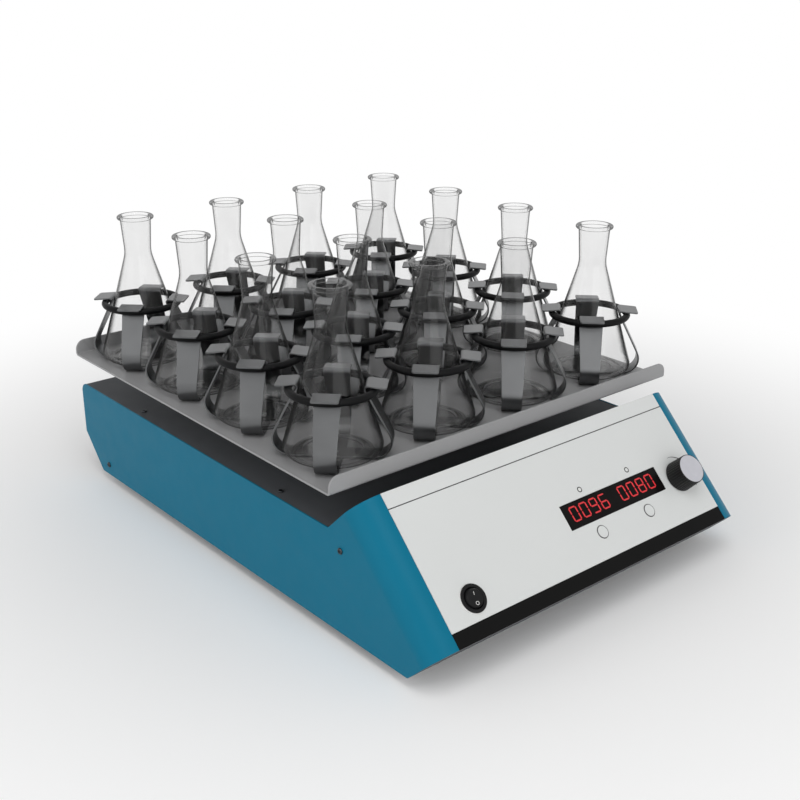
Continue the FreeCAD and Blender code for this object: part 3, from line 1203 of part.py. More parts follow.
def main():
    """Build every node."""
    os.makedirs("parts", exist_ok=True)
    left = left_side_panel()
    set_place, start_place = button_places()
    nodes = {
        "bottom_tray": bottom_tray(),
        "left_side_panel": left,
        "right_side_panel": mirrored(left),
        "top_plate": top_plate(),
        "rear_panel": rear_panel(),
        "console_back": console_back(),
        "front_panel": front_panel(),
        "front_strip": front_strip(),
        "display_window": display_window(),
        "control_board": control_board(),
        "led_lenses": led_lenses(),
        "set_button": push_button(*set_place),
        "start_stop_button": push_button(*start_place),
        "switch_body": switch_body(),
        "power_rocker": power_rocker(),
        "encoder": encoder(),
        "encoder_shaft": encoder_shaft(),
        "speed_knob": speed_knob(),
        "knob_cap": knob_cap(),
        "drive_chassis": drive_chassis(),
        "bearing_housings": bearing_housings(),
        "shaft_bearings": shaft_bearings(),
        "drive_crank": drive_crank(),
        "drive_pulley": drive_pulley(),
        "motor": motor(),
        "motor_pulley": motor_pulley(),
        "drive_belt": drive_belt(),
        "power_supply": power_supply(),
        "power_inlet": power_inlet(),
        "feet": feet(),
        "housing_screws": housing_screws(),
        "platform": platform(),
        "platform_frame": platform_frame(),
        "pin_bearings": pin_bearings(),
        "platform_screws": platform_screws(),
        "clamp_rings": clamp_rings(),
        "clamp_screws": clamp_screws(),
    }
    for number in range(1, IDLER_COUNT + 1):
        nodes["idler_crank_%d" % number] = idler_crank(number)
    for row in range(1, ROWS + 1):
        nodes["clamps_row_%d" % row] = clamps_row(row)
    glass = flask()
    for index, (x, y) in enumerate(flask_places()):
        name = "flask_%d_%d" % (index // ROWS + 1, index % ROWS + 1)
        nodes[name] = moved(glass, x, y, FLASK_BASE_Z)
    for node, shape in nodes.items():
        write(node, shape)


main()
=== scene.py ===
"""Looks of a bench orbital shaker with sixteen clamped conical flasks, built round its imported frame.

Sizes are millimetres in the part's frame: +X to the right of someone who faces the console, +Y from the
console to the rear, +Z up. The bench turns them into metres.
"""

import logging
import math
from dataclasses import dataclass, field
from enum import Enum
from typing import Any, Callable, Sequence

import bmesh
import bpy
from mathutils import Matrix, Vector


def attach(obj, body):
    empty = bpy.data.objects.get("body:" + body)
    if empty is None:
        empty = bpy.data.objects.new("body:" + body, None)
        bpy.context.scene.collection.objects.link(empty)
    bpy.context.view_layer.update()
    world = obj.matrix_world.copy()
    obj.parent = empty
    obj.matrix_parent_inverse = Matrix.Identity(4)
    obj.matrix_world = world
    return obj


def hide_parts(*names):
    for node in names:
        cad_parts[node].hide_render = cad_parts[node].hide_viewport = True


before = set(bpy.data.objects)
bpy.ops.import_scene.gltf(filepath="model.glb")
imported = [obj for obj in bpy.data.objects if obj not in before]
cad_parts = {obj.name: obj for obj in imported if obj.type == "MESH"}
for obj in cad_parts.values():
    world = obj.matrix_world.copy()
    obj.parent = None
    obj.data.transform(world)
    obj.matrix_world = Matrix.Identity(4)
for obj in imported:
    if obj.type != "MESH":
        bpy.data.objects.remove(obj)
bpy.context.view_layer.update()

LOG = logging.getLogger("shaker")
MM = 0.001
WELD = 0.001
MESH_WELD = 0.005
Colour = tuple[float, float, float]
Corner = Sequence[float]
Point = tuple[float, float]


class Body(Enum):
    """The moving bodies that a piece can ride on."""

    BASE = "base"
    PLATFORM = "platform"
    KNOB = "speed_knob"
    ROCKER = "power_rocker"
    SET = "set_button"
    START = "start_stop_button"
    CRANK = "crank"
    IDLER_1 = "idler_1"
    IDLER_2 = "idler_2"
    IDLER_3 = "idler_3"


class Axis(Enum):
    """Direction of a brushed finish."""

    X = (1.0, 0.0, 0.0)
    Z = (0.0, 0.0, 1.0)


def tone(red: int, green: int, blue: int) -> Colour:
    """Linear colour of a display colour.

    Args:
        red: Red from 0 to 255.
        green: Green from 0 to 255.
        blue: Blue from 0 to 255.

    Returns:
        The three linear values.
    """
    def linear(value: float) -> float:
        return value / 12.92 if value <= 0.04045 else ((value + 0.055) / 1.055) ** 2.4

    return (linear(red / 255), linear(green / 255), linear(blue / 255))


def rounded(corners: Sequence[Corner], closed: bool = False, turn: float = 9.0) -> list[Point]:
    """Outline with an arc at each corner that has a radius.

    Args:
        corners: Corners (a, b) or (a, b, radius).
        closed: Whether the last corner joins the first.
        turn: Most degrees that one run of an arc turns.

    Returns:
        The outline's points.
    """
    points: list[Point] = []
    count = len(corners)
    for index, corner in enumerate(corners):
        here = Vector(corner[:2])
        radius = corner[2] if len(corner) > 2 else 0.0
        if radius <= 0 or (not closed and index in (0, count - 1)):
            points.append(tuple(here))
            continue
        before = (Vector(corners[index - 1][:2]) - here).normalized()
        after = (Vector(corners[(index + 1) % count][:2]) - here).normalized()
        half = before.angle(after) / 2
        centre = here + (before + after).normalized() * (radius / math.sin(half))
        start = here + before * (radius / math.tan(half)) - centre
        end = here + after * (radius / math.tan(half)) - centre
        sweep = math.atan2(start.x * end.y - start.y * end.x, start.dot(end))
        runs = max(2, math.ceil(abs(math.degrees(sweep)) / turn))
        for step in range(runs + 1):
            angle = math.atan2(start.y, start.x) + sweep * step / runs
            points.append((centre.x + radius * math.cos(angle), centre.y + radius * math.sin(angle)))
    return points


def arc(centre: Point, radius: float, start: float, end: float, runs: int) -> list[Point]:
    """Points of an arc.

    Args:
        centre: Centre of the arc.
        radius: Radius.
        start: First angle in radians.
        end: Last angle in radians.
        runs: Number of runs between the points.

    Returns:
        One point more than there are runs.
    """
    angles = [start + (end - start) * step / runs for step in range(runs + 1)]
    return [(centre[0] + radius * math.cos(a), centre[1] + radius * math.sin(a)) for a in angles]


def offset(points: Sequence[Point], distance: float) -> list[Point]:
    """Open outline moved to its left.

    Args:
        points: The outline.
        distance: How far it moves.

    Returns:
        As many points as there were.
    """
    path = [Vector(point) for point in points]
    moved: list[Point] = []
    for index, here in enumerate(path):
        runs = []
        if index > 0:
            runs.append((here - path[index - 1]).normalized())
        if index < len(path) - 1:
            runs.append((path[index + 1] - here).normalized())
        normals = [Vector((-run.y, run.x)) for run in runs]
        mean = sum(normals, Vector((0.0, 0.0))).normalized()
        place = here + mean * (distance / mean.dot(normals[0]))
        moved.append((place.x, place.y))
    return moved


class Bench:
    """Makes and shapes meshes with Blender's modelling operators. Its sizes are millimetres."""

    def rest(self) -> None:
        """Leave edit mode and select nothing."""
        if bpy.context.mode != "OBJECT":
            bpy.ops.object.mode_set(mode="OBJECT")
        bpy.ops.object.select_all(action="DESELECT")

    def hold(self, piece: bpy.types.Object) -> None:
        """Make a piece the only one selected, and the active one."""
        self.rest()
        piece.select_set(True)
        bpy.context.view_layer.objects.active = piece

    def edit(self, piece: bpy.types.Object, mode: str = "FACE") -> None:
        """Open a piece in edit mode with nothing selected."""
        self.hold(piece)
        bpy.ops.object.mode_set(mode="EDIT")
        bpy.ops.mesh.select_mode(type=mode)
        bpy.ops.mesh.select_all(action="DESELECT")

    def choose(self, kind: str, test: Callable[[Vector], bool]) -> None:
        """Select parts of the open piece by place.

        Args:
            kind: VERT, EDGE or FACE.
            test: Says of a vertex, or of the middle of an edge or face, whether it is wanted.
        """
        bpy.ops.mesh.select_mode(type=kind)
        bpy.ops.mesh.select_all(action="DESELECT")
        data = bpy.context.object.data
        mesh = bmesh.from_edit_mesh(data)
        if kind == "VERT":
            places = [(item, item.co) for item in mesh.verts]
        elif kind == "EDGE":
            places = [(item, (item.verts[0].co + item.verts[1].co) / 2) for item in mesh.edges]
        else:
            places = [(item, item.calc_center_median()) for item in mesh.faces]
        for item, place in places:
            if test(place / MM):
                item.select_set(True)
        mesh.select_flush_mode()
        bmesh.update_edit_mesh(data)

    def name(self, piece: bpy.types.Object, name: str) -> bpy.types.Object:
        """Name a piece and its mesh."""
        piece.name = name
        piece.data.name = name
        return piece

    def settle(self) -> None:
        """Put the selected piece's place, turn and scale into its mesh."""
        bpy.ops.object.transform_apply(location=True, rotation=True, scale=True)

    def chain(self, name: str, points: Sequence[Vector]) -> bpy.types.Object:
        """Line of edges through points, left open in edit mode and all selected.

        Args:
            name: Name of the piece.
            points: The points.

        Returns:
            The new piece.
        """
        self.rest()
        bpy.ops.mesh.primitive_circle_add(vertices=3, radius=MM, location=points[0] * MM)
        piece = self.name(bpy.context.object, name)
        self.settle()
        bpy.ops.object.mode_set(mode="EDIT")
        bpy.ops.mesh.select_mode(type="VERT")
        bpy.ops.mesh.select_all(action="SELECT")
        bpy.ops.mesh.merge(type="CENTER")
        for start, end in zip(points, points[1:]):
            bpy.ops.mesh.extrude_vertices_move(TRANSFORM_OT_translate={"value": (end - start) * MM})
        bpy.ops.mesh.select_all(action="SELECT")
        return piece

    def tidy(self, piece: bpy.types.Object) -> bpy.types.Object:
        """Merge doubles and turn the faces of a closed piece outwards."""
        self.edit(piece)
        bpy.ops.mesh.select_all(action="SELECT")
        bpy.ops.mesh.remove_doubles(threshold=MM * WELD)
        bpy.ops.mesh.normals_make_consistent(inside=False)
        self.rest()
        return piece

    def lathe(self, name: str, outline: Sequence[Point], steps: int = 64) -> bpy.types.Object:
        """Turned piece about the Z axis.

        Args:
            name: Name of the piece.
            outline: Points (radius, height).
            steps: Faces round the piece.

        Returns:
            The new piece.
        """
        piece = self.chain(name, [Vector((r, 0.0, z)) for r, z in outline])
        bpy.ops.mesh.spin(steps=steps, angle=2 * math.pi, center=(0, 0, 0), axis=(0, 0, 1))
        return self.tidy(piece)

    def prism(self, name: str, outline: Sequence[Vector], along: Vector) -> bpy.types.Object:
        """Flat outline drawn out along a vector.

        Args:
            name: Name of the piece.
            outline: Points of the closed outline.
            along: How far and which way it is drawn out.

        Returns:
            The new piece.
        """
        piece = self.chain(name, outline)
        bpy.ops.mesh.edge_face_add()
        bpy.ops.mesh.extrude_region_move(TRANSFORM_OT_translate={"value": along * MM})
        return self.tidy(piece)

    def block(self, name: str, low: Corner, high: Corner) -> bpy.types.Object:
        """Box between two corners, for a start."""
        self.rest()
        size = [h - l for l, h in zip(low, high)]
        middle = [(h + l) / 2 * MM for l, h in zip(low, high)]
        bpy.ops.mesh.primitive_cube_add(size=MM, location=middle, scale=size)
        piece = self.name(bpy.context.object, name)
        self.settle()
        return piece

    def face_towards(self, piece: bpy.types.Object, place: Vector, direction: Vector) -> None:
        """Turn an open sheet's faces so that the one nearest a place looks in a direction."""
        self.edit(piece)
        bpy.ops.mesh.select_all(action="SELECT")
        bpy.ops.mesh.normals_make_consistent(inside=False)
        mesh = bmesh.from_edit_mesh(piece.data)
        near = min(mesh.faces, key=lambda item: (item.calc_center_median() / MM - place).length)
        if near.normal.dot(direction) < 0:
            bpy.ops.mesh.flip_normals()
        self.rest()

    def modify(self, piece: bpy.types.Object, kind: str, **settings: Any) -> None:
        """Add a modifier to a piece and apply it.

        Args:
            piece: The piece.
            kind: Blender's name for the kind of modifier.
            settings: The modifier's settings, lengths in metres.
        """
        self.hold(piece)
        modifier = piece.modifiers.new(kind.title(), kind)
        for key, value in settings.items():
            setattr(modifier, key, value)
        bpy.ops.object.modifier_apply(modifier=modifier.name)

    def ease(self, piece: bpy.types.Object, width: float, segments: int = 2, angle: float = 40.0) -> None:
        """Round the sharp edges of a piece.

        Args:
            piece: The piece.
            width: Width of the rounding.
            segments: Faces across it.
            angle: Least angle in degrees that counts as sharp.
        """
        self.modify(piece, "BEVEL", width=width * MM, segments=segments, limit_method="ANGLE",
                    angle_limit=math.radians(angle))

    def smooth(self, piece: bpy.types.Object, angle: float = 32.0) -> bpy.types.Object:
        """Shade a piece smooth where its faces meet at less than an angle in degrees."""
        self.hold(piece)
        bpy.ops.object.shade_smooth_by_angle(angle=math.radians(angle))
        self.modify(piece, "WEIGHTED_NORMAL", keep_sharp=True)
        self.rest()
        return piece

    def place(self, piece: bpy.types.Object, matrix: Matrix) -> bpy.types.Object:
        """Move a piece and put its place into its mesh."""
        self.hold(piece)
        piece.matrix_world = matrix @ piece.matrix_world
        self.settle()
        self.rest()
        return piece

    def copy(self, piece: bpy.types.Object, name: str, matrix: Matrix) -> bpy.types.Object:
        """Copy of a piece with its own mesh, moved."""
        twin = piece.copy()
        twin.data = piece.data.copy()
        self.name(twin, name)
        bpy.context.scene.collection.objects.link(twin)
        return self.place(twin, matrix)

    def join(self, pieces: Sequence[bpy.types.Object], name: str) -> bpy.types.Object:
        """Several pieces made into one object."""
        self.rest()
        for piece in pieces:
            piece.select_set(True)
        bpy.context.view_layer.objects.active = pieces[0]
        bpy.ops.object.join()
        joined = self.name(bpy.context.object, name)
        self.rest()
        return joined

    def drop(self, piece: bpy.types.Object) -> None:
        """Remove a piece that was only a pattern for copies."""
        bpy.data.objects.remove(piece)

    def recut(self, node: str, name: str, edge: float) -> bpy.types.Object:
        """Piece cut from a CAD node's mesh, with flat faces made whole and edges eased.

        Args:
            node: The CAD node.
            name: Name of the piece.
            edge: Width of the eased edges.

        Returns:
            The new piece.
        """
        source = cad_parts[node]
        self.rest()
        piece = self.name(bpy.data.objects.new(name, source.data.copy()), name)
        bpy.context.scene.collection.objects.link(piece)
        self.edit(piece)
        bpy.ops.mesh.select_all(action="SELECT")
        bpy.ops.mesh.remove_doubles(threshold=MM * MESH_WELD)
        bpy.ops.mesh.dissolve_limited(angle_limit=math.radians(0.5))
        bpy.ops.mesh.normals_make_consistent(inside=False)
        self.rest()
        self.ease(piece, edge, angle=35.0)
        return self.smooth(piece)


BENCH = Bench()


def operator(kind: str, reflected: bool = False) -> Callable[["Field", Any], "Field"]:
    """Method of a field that works one of Python's operators with a Math node.

    Args:
        kind: The node's operation.
        reflected: Whether the other value comes before the field.

    Returns:
        The method.
    """
    def method(self: "Field", other: Any) -> "Field":
        """Result of the operator."""
        values = (other, self) if reflected else (self, other)
        return self.graph.node("ShaderNodeMath", {"operation": kind}, dict(enumerate(values)))

    return method


class Field:
    """One output of a shader node, with Python's operators for the sums on it."""

    __add__, __radd__ = operator("ADD"), operator("ADD", reflected=True)
    __sub__, __rsub__ = operator("SUBTRACT"), operator("SUBTRACT", reflected=True)
    __mul__, __rmul__ = operator("MULTIPLY"), operator("MULTIPLY", reflected=True)
    __pow__, __rpow__ = operator("POWER"), operator("POWER", reflected=True)

    def __init__(self, graph: "Graph", socket: bpy.types.NodeSocket) -> None:
        """Wrap a socket of a graph's node."""
        self.graph = graph
        self.socket = socket

    def maths(self, operation: str, *others: Any) -> "Field":
        """Result of a Math node on this value and others."""
        return self.graph.node("ShaderNodeMath", {"operation": operation}, dict(enumerate((self, *others))))

    def __abs__(self) -> "Field":
        """Size without sign."""
        return self.maths("ABSOLUTE")

    def below(self, limit: Any) -> "Field":
        """1 where the value is below a limit, else 0."""
        return self.maths("LESS_THAN", limit)

    def above(self, limit: Any) -> "Field":
        """1 where the value is above a limit, else 0."""
        return self.maths("GREATER_THAN", limit)

    def span(self, low: float, high: float, start: float, end: float, kind: str = "LINEAR") -> "Field":
        """The value carried from one range to another, and held inside it."""
        return self.graph.node("ShaderNodeMapRange", {"clamp": True, "interpolation_type": kind},
                               {0: self, 1: low, 2: high, 3: start, 4: end})


class Graph:
    """Node tree of a material or of the world."""

    def __init__(self, tree: bpy.types.NodeTree) -> None:
        """Start from an empty tree."""
        self.tree = tree
        tree.nodes.clear()

    def node(self, kind: str, settings: dict[str, Any] | None = None,
             inputs: dict[int | str, Any] | None = None, output: int | str = 0) -> Field:
        """Add a node.

        Args:
            kind: Blender's name for the node.
            settings: Values of its own, with stops as pairs of place and colour.
            inputs: Values or fields for its sockets.
            output: The output that is wanted.

        Returns:
            That output.
        """
        made = self.tree.nodes.new(kind)
        for key, value in (settings or {}).items():
            if key == "stops":
                ramp = made.color_ramp.elements
                while len(ramp) < len(value):
                    ramp.new(1.0)
                for element, (place, colour) in zip(ramp, value):
                    element.position = place
                    element.color = (*colour, 1.0)
            else:
                setattr(made, key, value)
        for key, value in (inputs or {}).items():
            if isinstance(value, Field):
                self.tree.links.new(value.socket, made.inputs[key])
            else:
                made.inputs[key].default_value = value
        return Field(self, made.outputs[output])

    def place(self) -> Field:
        """Point of the surface in the part's frame, in metres."""
        return self.node("ShaderNodeTexCoord", output="Object")

    def stretched(self, place: Field, scale: Corner) -> Field:
        """Place multiplied along each axis."""
        return self.node("ShaderNodeMapping", {}, {"Vector": place, "Scale": tuple(scale)})

    def noise(self, place: Field, size: float, detail: float = 3.0, rough: float = 0.5) -> Field:
        """Soft noise from 0 to 1 with spots of a size in millimetres."""
        return self.node("ShaderNodeTexNoise", {},
                         {"Vector": place, "Scale": 1 / (size * MM), "Detail": detail, "Roughness": rough},
                         "Fac")

    def mix(self, share: Any, first: Colour | Field, second: Colour | Field) -> Field:
        """Colour between two colours."""
        pair = [c if isinstance(c, Field) else (*c, 1.0) for c in (first, second)]
        return self.node("ShaderNodeMix", {"data_type": "RGBA"}, {0: share, 6: pair[0], 7: pair[1]}, 2)

    def bump(self, height: Field, depth: float) -> Field:
        """Normal of a surface with a relief of a depth in millimetres."""
        return self.node("ShaderNodeBump", {}, {"Strength": 1.0, "Distance": depth * MM, "Height": height})

    def principled(self, **inputs: Any) -> Field:
        """Principled shader from its inputs, with spaces written as underscores."""
        values = {key.replace("_", " "): value for key, value in inputs.items()}
        for key, value in values.items():
            if isinstance(value, tuple) and len(value) == 3:
                values[key] = (*value, 1.0)
        return self.node("ShaderNodeBsdfPrincipled", {}, values)

    def blend(self, share: Any, first: Field, second: Field) -> Field:
        """Shader between two shaders."""
        return self.node("ShaderNodeMixShader", {}, {0: share, 1: first, 2: second})

    def finish(self, shader: Field, kind: str = "ShaderNodeOutputMaterial") -> None:
        """Join a shader to the output of the material or the world."""
        out = self.tree.nodes.new(kind)
        self.tree.links.new(shader.socket, out.inputs["Surface"])

    def surface(self, **inputs: Any) -> None:
        """Principled surface, joined to the output."""
        self.finish(self.principled(**inputs))


@dataclass(frozen=True)
class Finish:
    """A surface finish. The kinds of finish fill in dress."""

    name: str
    colour: Colour
    roughness: float = 0.5

    def dress(self, graph: Graph) -> None:
        """Build the nodes in a graph."""
        raise NotImplementedError

    def shades(self, spread: float) -> tuple[Colour, Colour]:
        """A darker and a lighter shade of the colour.

        Args:
            spread: Share of the colour that they differ from it.

        Returns:
            The two shades.
        """
        dark = tuple(value * (1 - spread) for value in self.colour)
        light = tuple(min(1.0, value * (1 + spread)) for value in self.colour)
        return dark, light

    def material(self) -> bpy.types.Material:
        """The finish as a material, made once, under a name that the frame's own materials don't have."""
        label = "finish_" + self.name
        found = bpy.data.materials.get(label)
        if found is not None:
            return found
        made = bpy.data.materials.new(label)
        made.use_nodes = True
        made.diffuse_color = (*self.colour, 1.0)
        self.dress(Graph(made.node_tree))
        return made


@dataclass(frozen=True)
class Coating(Finish):
    """Sprayed paint or powder coat with fine orange peel."""

    mottle: float = 0.03
    grain: float = 0.7
    relief: float = 0.012
    sheen: float = 0.5
    cloud: float = 60.0
    rub: float = 18.0

    def tint(self, graph: Graph, place: Field) -> Field:
        """Colour with a faint cloud and specks."""
        dark, light = self.shades(self.mottle)
        cloud = graph.noise(place, self.cloud, 2.0)
        speck = graph.noise(place, self.grain * 0.6, 1.0)
        return graph.mix((cloud * 0.5 + speck * 0.5).span(0.3, 0.7, 0.0, 1.0), dark, light)

    def dress(self, graph: Graph) -> None:
        """Build the paint."""
        place = graph.place()
        peel = graph.noise(place, self.grain, 2.0)
        rub = graph.noise(place, self.rub, 4.0)
        rough = rub.span(0.3, 0.7, self.roughness * 0.9, self.roughness * 1.12)
        graph.surface(Base_Color=self.tint(graph, place), Roughness=rough, Specular_IOR_Level=self.sheen,
                      Normal=graph.bump(peel, self.relief))


@dataclass(frozen=True)
class PrintedSheet(Coating):
    """Pale console sheet with a tapering arc printed round the knob, and a painted shade line along its groove.
    """

    knob: Point = (141.5, 52.9)
    radius: float = 20.0
    first: float = 92.0
    last: float = -40.0
    thin: float = 0.15
    thick: float = 1.4
    groove: float = 121.0
    # Half width of the painted shade line along the groove.
    groove_shade_width: float = 0.45
    # Colour of the printed arc and of the painted groove shade.
    line_colour: Colour = (0.03, 0.03, 0.03)

    def tint(self, graph: Graph, place: Field) -> Field:
        """Coating with the printed arc and the painted groove shade over it."""
        flat = CONSOLE.flat(graph, place, self.knob)
        reach = (flat[0] ** 2.0 + flat[1] ** 2.0) ** 0.5
        angle = graph.node("ShaderNodeMath", {"operation": "ARCTAN2"}, {0: flat[1], 1: flat[0]})
        first, last = math.radians(self.first), math.radians(self.last)
        along = angle.span(last, first, 1.0, 0.0)
        width = along * (self.thick - self.thin) + self.thin
        inside = abs(reach - self.radius).below(width) * angle.above(last) * angle.below(first)
        # Painted shade: a dark line along the groove, standing in for the shadow that falls in it.
        line = abs(flat[1] - (self.groove - self.knob[1])).below(self.groove_shade_width)
        return graph.mix(inside.maths("MAXIMUM", line), super().tint(graph, place), self.line_colour)


@dataclass(frozen=True)
class RingedCap(Coating):
    """Pale key cap with a dark line round its edge."""

    centre: Point = (0.0, 0.0)
    inner: float = 5.3
    line_colour: Colour = (0.05, 0.05, 0.05)

    def tint(self, graph: Graph, place: Field) -> Field:
        """Coating with the line over it."""
        flat = CONSOLE.flat(graph, place, self.centre)
        reach = (flat[0] ** 2.0 + flat[1] ** 2.0) ** 0.5
        return graph.mix(reach.span(self.inner, self.inner + 0.15, 0.0, 1.0), super().tint(graph, place),
                         self.line_colour)


@dataclass(frozen=True)
class Metal(Finish):
    """Bare metal with brushing along one axis."""

    brush: Axis = Axis.X
    stretch: float = 40.0
    line: float = 0.25
    relief: float = 0.01
    spread: float = 0.10
    metallic: float = 1.0
    patch: float = 25.0

    def dress(self, graph: Graph) -> None:
        """Build the metal."""
        place = graph.place()
        scale = tuple(1 / self.stretch if part else 1.0 for part in self.brush.value)
        lines = graph.noise(graph.stretched(place, scale), self.line * 2, 3.0, 0.6)
        cloud = graph.noise(place, self.patch, 3.0)
        dark, light = self.shades(self.spread)
        rough = (lines * 0.6 + cloud * 0.4).span(0.3, 0.7, self.roughness * 0.8, self.roughness * 1.2)
        graph.surface(Base_Color=graph.mix(cloud.span(0.3, 0.7, 0.0, 1.0), dark, light), Roughness=rough,
                      Metallic=self.metallic, Normal=graph.bump(lines, self.relief))


@dataclass(frozen=True)
class Turned(Metal):
    """Metal faced on a lathe, with fine rings about a point of the console."""

    centre: Point = (0.0, 0.0)
    pitch: float = 0.35
    patch: float = 6.0

    def dress(self, graph: Graph) -> None:
        """Build the turned face."""
        place = graph.place()
        flat = CONSOLE.flat(graph, place, self.centre)
        reach = (flat[0] ** 2.0 + flat[1] ** 2.0) ** 0.5
        rings = (reach * (2 * math.pi / self.pitch)).maths("SINE") * 0.5 + 0.5
        cloud = graph.noise(place, self.patch, 3.0)
        dark, light = self.shades(self.spread)
        rough = (rings * 0.4 + cloud * 0.6).span(0.2, 0.8, self.roughness * 0.85, self.roughness * 1.15)
        graph.surface(Base_Color=graph.mix(cloud.span(0.3, 0.7, 0.0, 1.0), dark, light), Roughness=rough,
                      Metallic=self.metallic, Normal=graph.bump(rings, self.relief))


@dataclass(frozen=True)
class Moulding(Finish):
    """Moulded plastic or rubber with a fine eroded grain."""

    grain: float = 0.35
    relief: float = 0.015
    spread: float = 0.15
    sheen: float = 0.5
    wear: float = 9.0

    def dress(self, graph: Graph) -> None:
        """Build the moulded surface."""
        place = graph.place()
        grain = graph.noise(place, self.grain, 2.0)
        wear = graph.noise(place, self.wear, 4.0)
        dark, light = self.shades(self.spread)
        rough = (grain * 0.3 + wear * 0.7).span(0.3, 0.7, self.roughness * 0.88, self.roughness * 1.12)
        graph.surface(Base_Color=graph.mix(wear.span(0.35, 0.65, 0.0, 1.0), dark, light), Roughness=rough,
                      Specular_IOR_Level=self.sheen, Normal=graph.bump(grain, self.relief))


@dataclass(frozen=True)
class ClearGlass(Finish):
    """Thin laboratory glass: clear where it is faced, darker and shinier towards its outline."""

    passes: float = 0.955
    edge: float = 1.0
    edge_start: float = 0.48
    edge_end: float = 0.8
    shine: float = 0.07
    shine_power: float = 3.0
    faced_shine: float = 0.015
    smudge: float = 22.0
    draw: float = 14.0
    draw_depth: float = 0.05

    def dress(self, graph: Graph) -> None:
        """Build the glass."""
        place = graph.place()
        smudge = graph.noise(place, self.smudge, 4.0)
        draw = graph.noise(graph.stretched(place, (1.0, 1.0, 0.2)), self.draw, 1.0)
        drawn = graph.bump(draw, self.draw_depth)
        turned = graph.node("ShaderNodeLayerWeight", {}, {"Blend": 0.5}, "Facing")
        dark, light = self.shades(0.2)
        wall = graph.principled(Base_Color=graph.mix(smudge, dark, light), Roughness=0.25,
                                Specular_IOR_Level=0.2)
        clear = graph.node("ShaderNodeBsdfTransparent", {}, {"Color": (*[self.passes] * 3, 1.0)})
        haze = smudge.span(0.5, 0.8, 0.0, 0.02)
        outline = turned.span(self.edge_start, self.edge_end, 0.0, self.edge, "SMOOTHSTEP")
        body = graph.blend(outline + haze, clear, wall)
        mirror = graph.principled(Base_Color=(1.0, 1.0, 1.0), Metallic=1.0, Normal=drawn,
                                  Roughness=smudge.span(0.55, 0.8, 0.01, self.roughness))
        share = turned ** self.shine_power * self.shine + self.faced_shine
        graph.finish(graph.blend(share, body, mirror))


@dataclass(frozen=True)
class Lit(Finish):
    """Glowing segment, a little uneven."""

    strength: float = 1.0
    patch: float = 1.5

    def dress(self, graph: Graph) -> None:
        """Build the glow."""
        place = graph.place()
        patch = graph.noise(place, self.patch, 1.0)
        dark, light = self.shades(0.12)
        glow = graph.mix(patch.span(0.3, 0.7, 0.0, 1.0), dark, light)
        graph.surface(Base_Color=(0.02, 0.0, 0.0), Roughness=self.roughness, Emission_Color=glow,
                      Emission_Strength=self.strength)


@dataclass(frozen=True)
class ConsoleFrame:
    """The sloping console's own frame: x across, y up the slope, z out of the panel."""

    front: float = -285.0
    height: float = 42.184
    slope: float = 45.6

    def matrix(self, x: float = 0.0, up: float = 0.0, out: float = 0.0) -> Matrix:
        """Matrix that lays a flat piece on the console at a place."""
        lay = Matrix.Translation(Vector((0.0, self.front, self.height)) * MM)
        lay = lay @ Matrix.Rotation(math.radians(self.slope), 4, "X")
        return lay @ Matrix.Translation(Vector((x, up, out)) * MM)

    def point(self, up: float, out: float) -> Point:
        """Side-view (y, z) of a place on the console."""
        angle = math.radians(self.slope)
        return (self.front + up * math.cos(angle) - out * math.sin(angle),
                self.height + up * math.sin(angle) + out * math.cos(angle))

    def flat(self, graph: Graph, place: Field, centre: Point) -> tuple[Field, Field]:
        """Millimetres across and up the slope from a place on the console, as fields."""
        angle = math.radians(self.slope)
        y, z = self.point(centre[1], 0.0)
        away = graph.node("ShaderNodeVectorMath", {"operation": "SUBTRACT"},
                          {0: place, 1: (centre[0] * MM, y * MM, z * MM)})
        ups = (0.0, math.cos(angle) / MM, math.sin(angle) / MM)
        across = graph.node("ShaderNodeVectorMath", {"operation": "DOT_PRODUCT"},
                            {0: away, 1: (1 / MM, 0.0, 0.0)}, "Value")
        up = graph.node("ShaderNodeVectorMath", {"operation": "DOT_PRODUCT"}, {0: away, 1: ups}, "Value")
        return across, up


CONSOLE = ConsoleFrame()
KNOB_PLACE = (141.5, 52.9)

TEAL = Coating("teal_paint", tone(0, 106, 134), 0.42, mottle=0.03, sheen=0.14)
DARK = Coating("dark_paint", tone(92, 94, 97), 0.55, mottle=0.05, grain=0.5, relief=0.02, sheen=0.04)
PANEL = PrintedSheet("panel_print", tone(209, 211, 210), 0.42, mottle=0.012, grain=0.5, knob=KNOB_PLACE)
STRIP = Coating("black_strip", tone(20, 20, 20), 0.45, mottle=0.06, sheen=0.04)
WINDOW = Moulding("display_filter", tone(15, 13, 13), 0.16, relief=0.001, sheen=0.06)
DIGITS = Lit("digit_glow", tone(206, 26, 35), 0.4, strength=1.0)
LENS = Moulding("lens", tone(216, 218, 216), 0.2, relief=0.002, spread=0.04)
LENS_RING = Moulding("lens_ring", tone(26, 26, 26), 0.45, sheen=0.2)
SWITCH = Moulding("switch_black", tone(20, 20, 21), 0.34, relief=0.008, sheen=0.14)
MARK = Moulding("switch_mark", tone(225, 225, 222), 0.5, spread=0.04)
COLLAR = Moulding("switch_collar", tone(222, 222, 220), 0.3, spread=0.04)
KNOB = Moulding("knob_black", tone(18, 18, 18), 0.45, relief=0.02, sheen=0.3)
CAP = Turned("knob_face", tone(188, 188, 194), 0.42, centre=KNOB_PLACE, metallic=0.5, spread=0.03,
             relief=0.004)
PLATFORM = Coating("platform_grey", tone(146, 146, 147), 0.42, mottle=0.03, grain=0.4, sheen=0.4)
SPRING = Metal("spring_steel", tone(103, 104, 105), 0.34, brush=Axis.Z, spread=0.04, relief=0.004)
RING = Moulding("ring_rubber", tone(10, 10, 11), 0.45, spread=0.1, sheen=0.1)
GLASS = ClearGlass("flask_glass", (0.03, 0.03, 0.03), 0.06)
GLASS_INSIDE = ClearGlass("flask_inside", (0.03, 0.03, 0.03), 0.06, edge=0.08, shine=0.1, faced_shine=0.005)
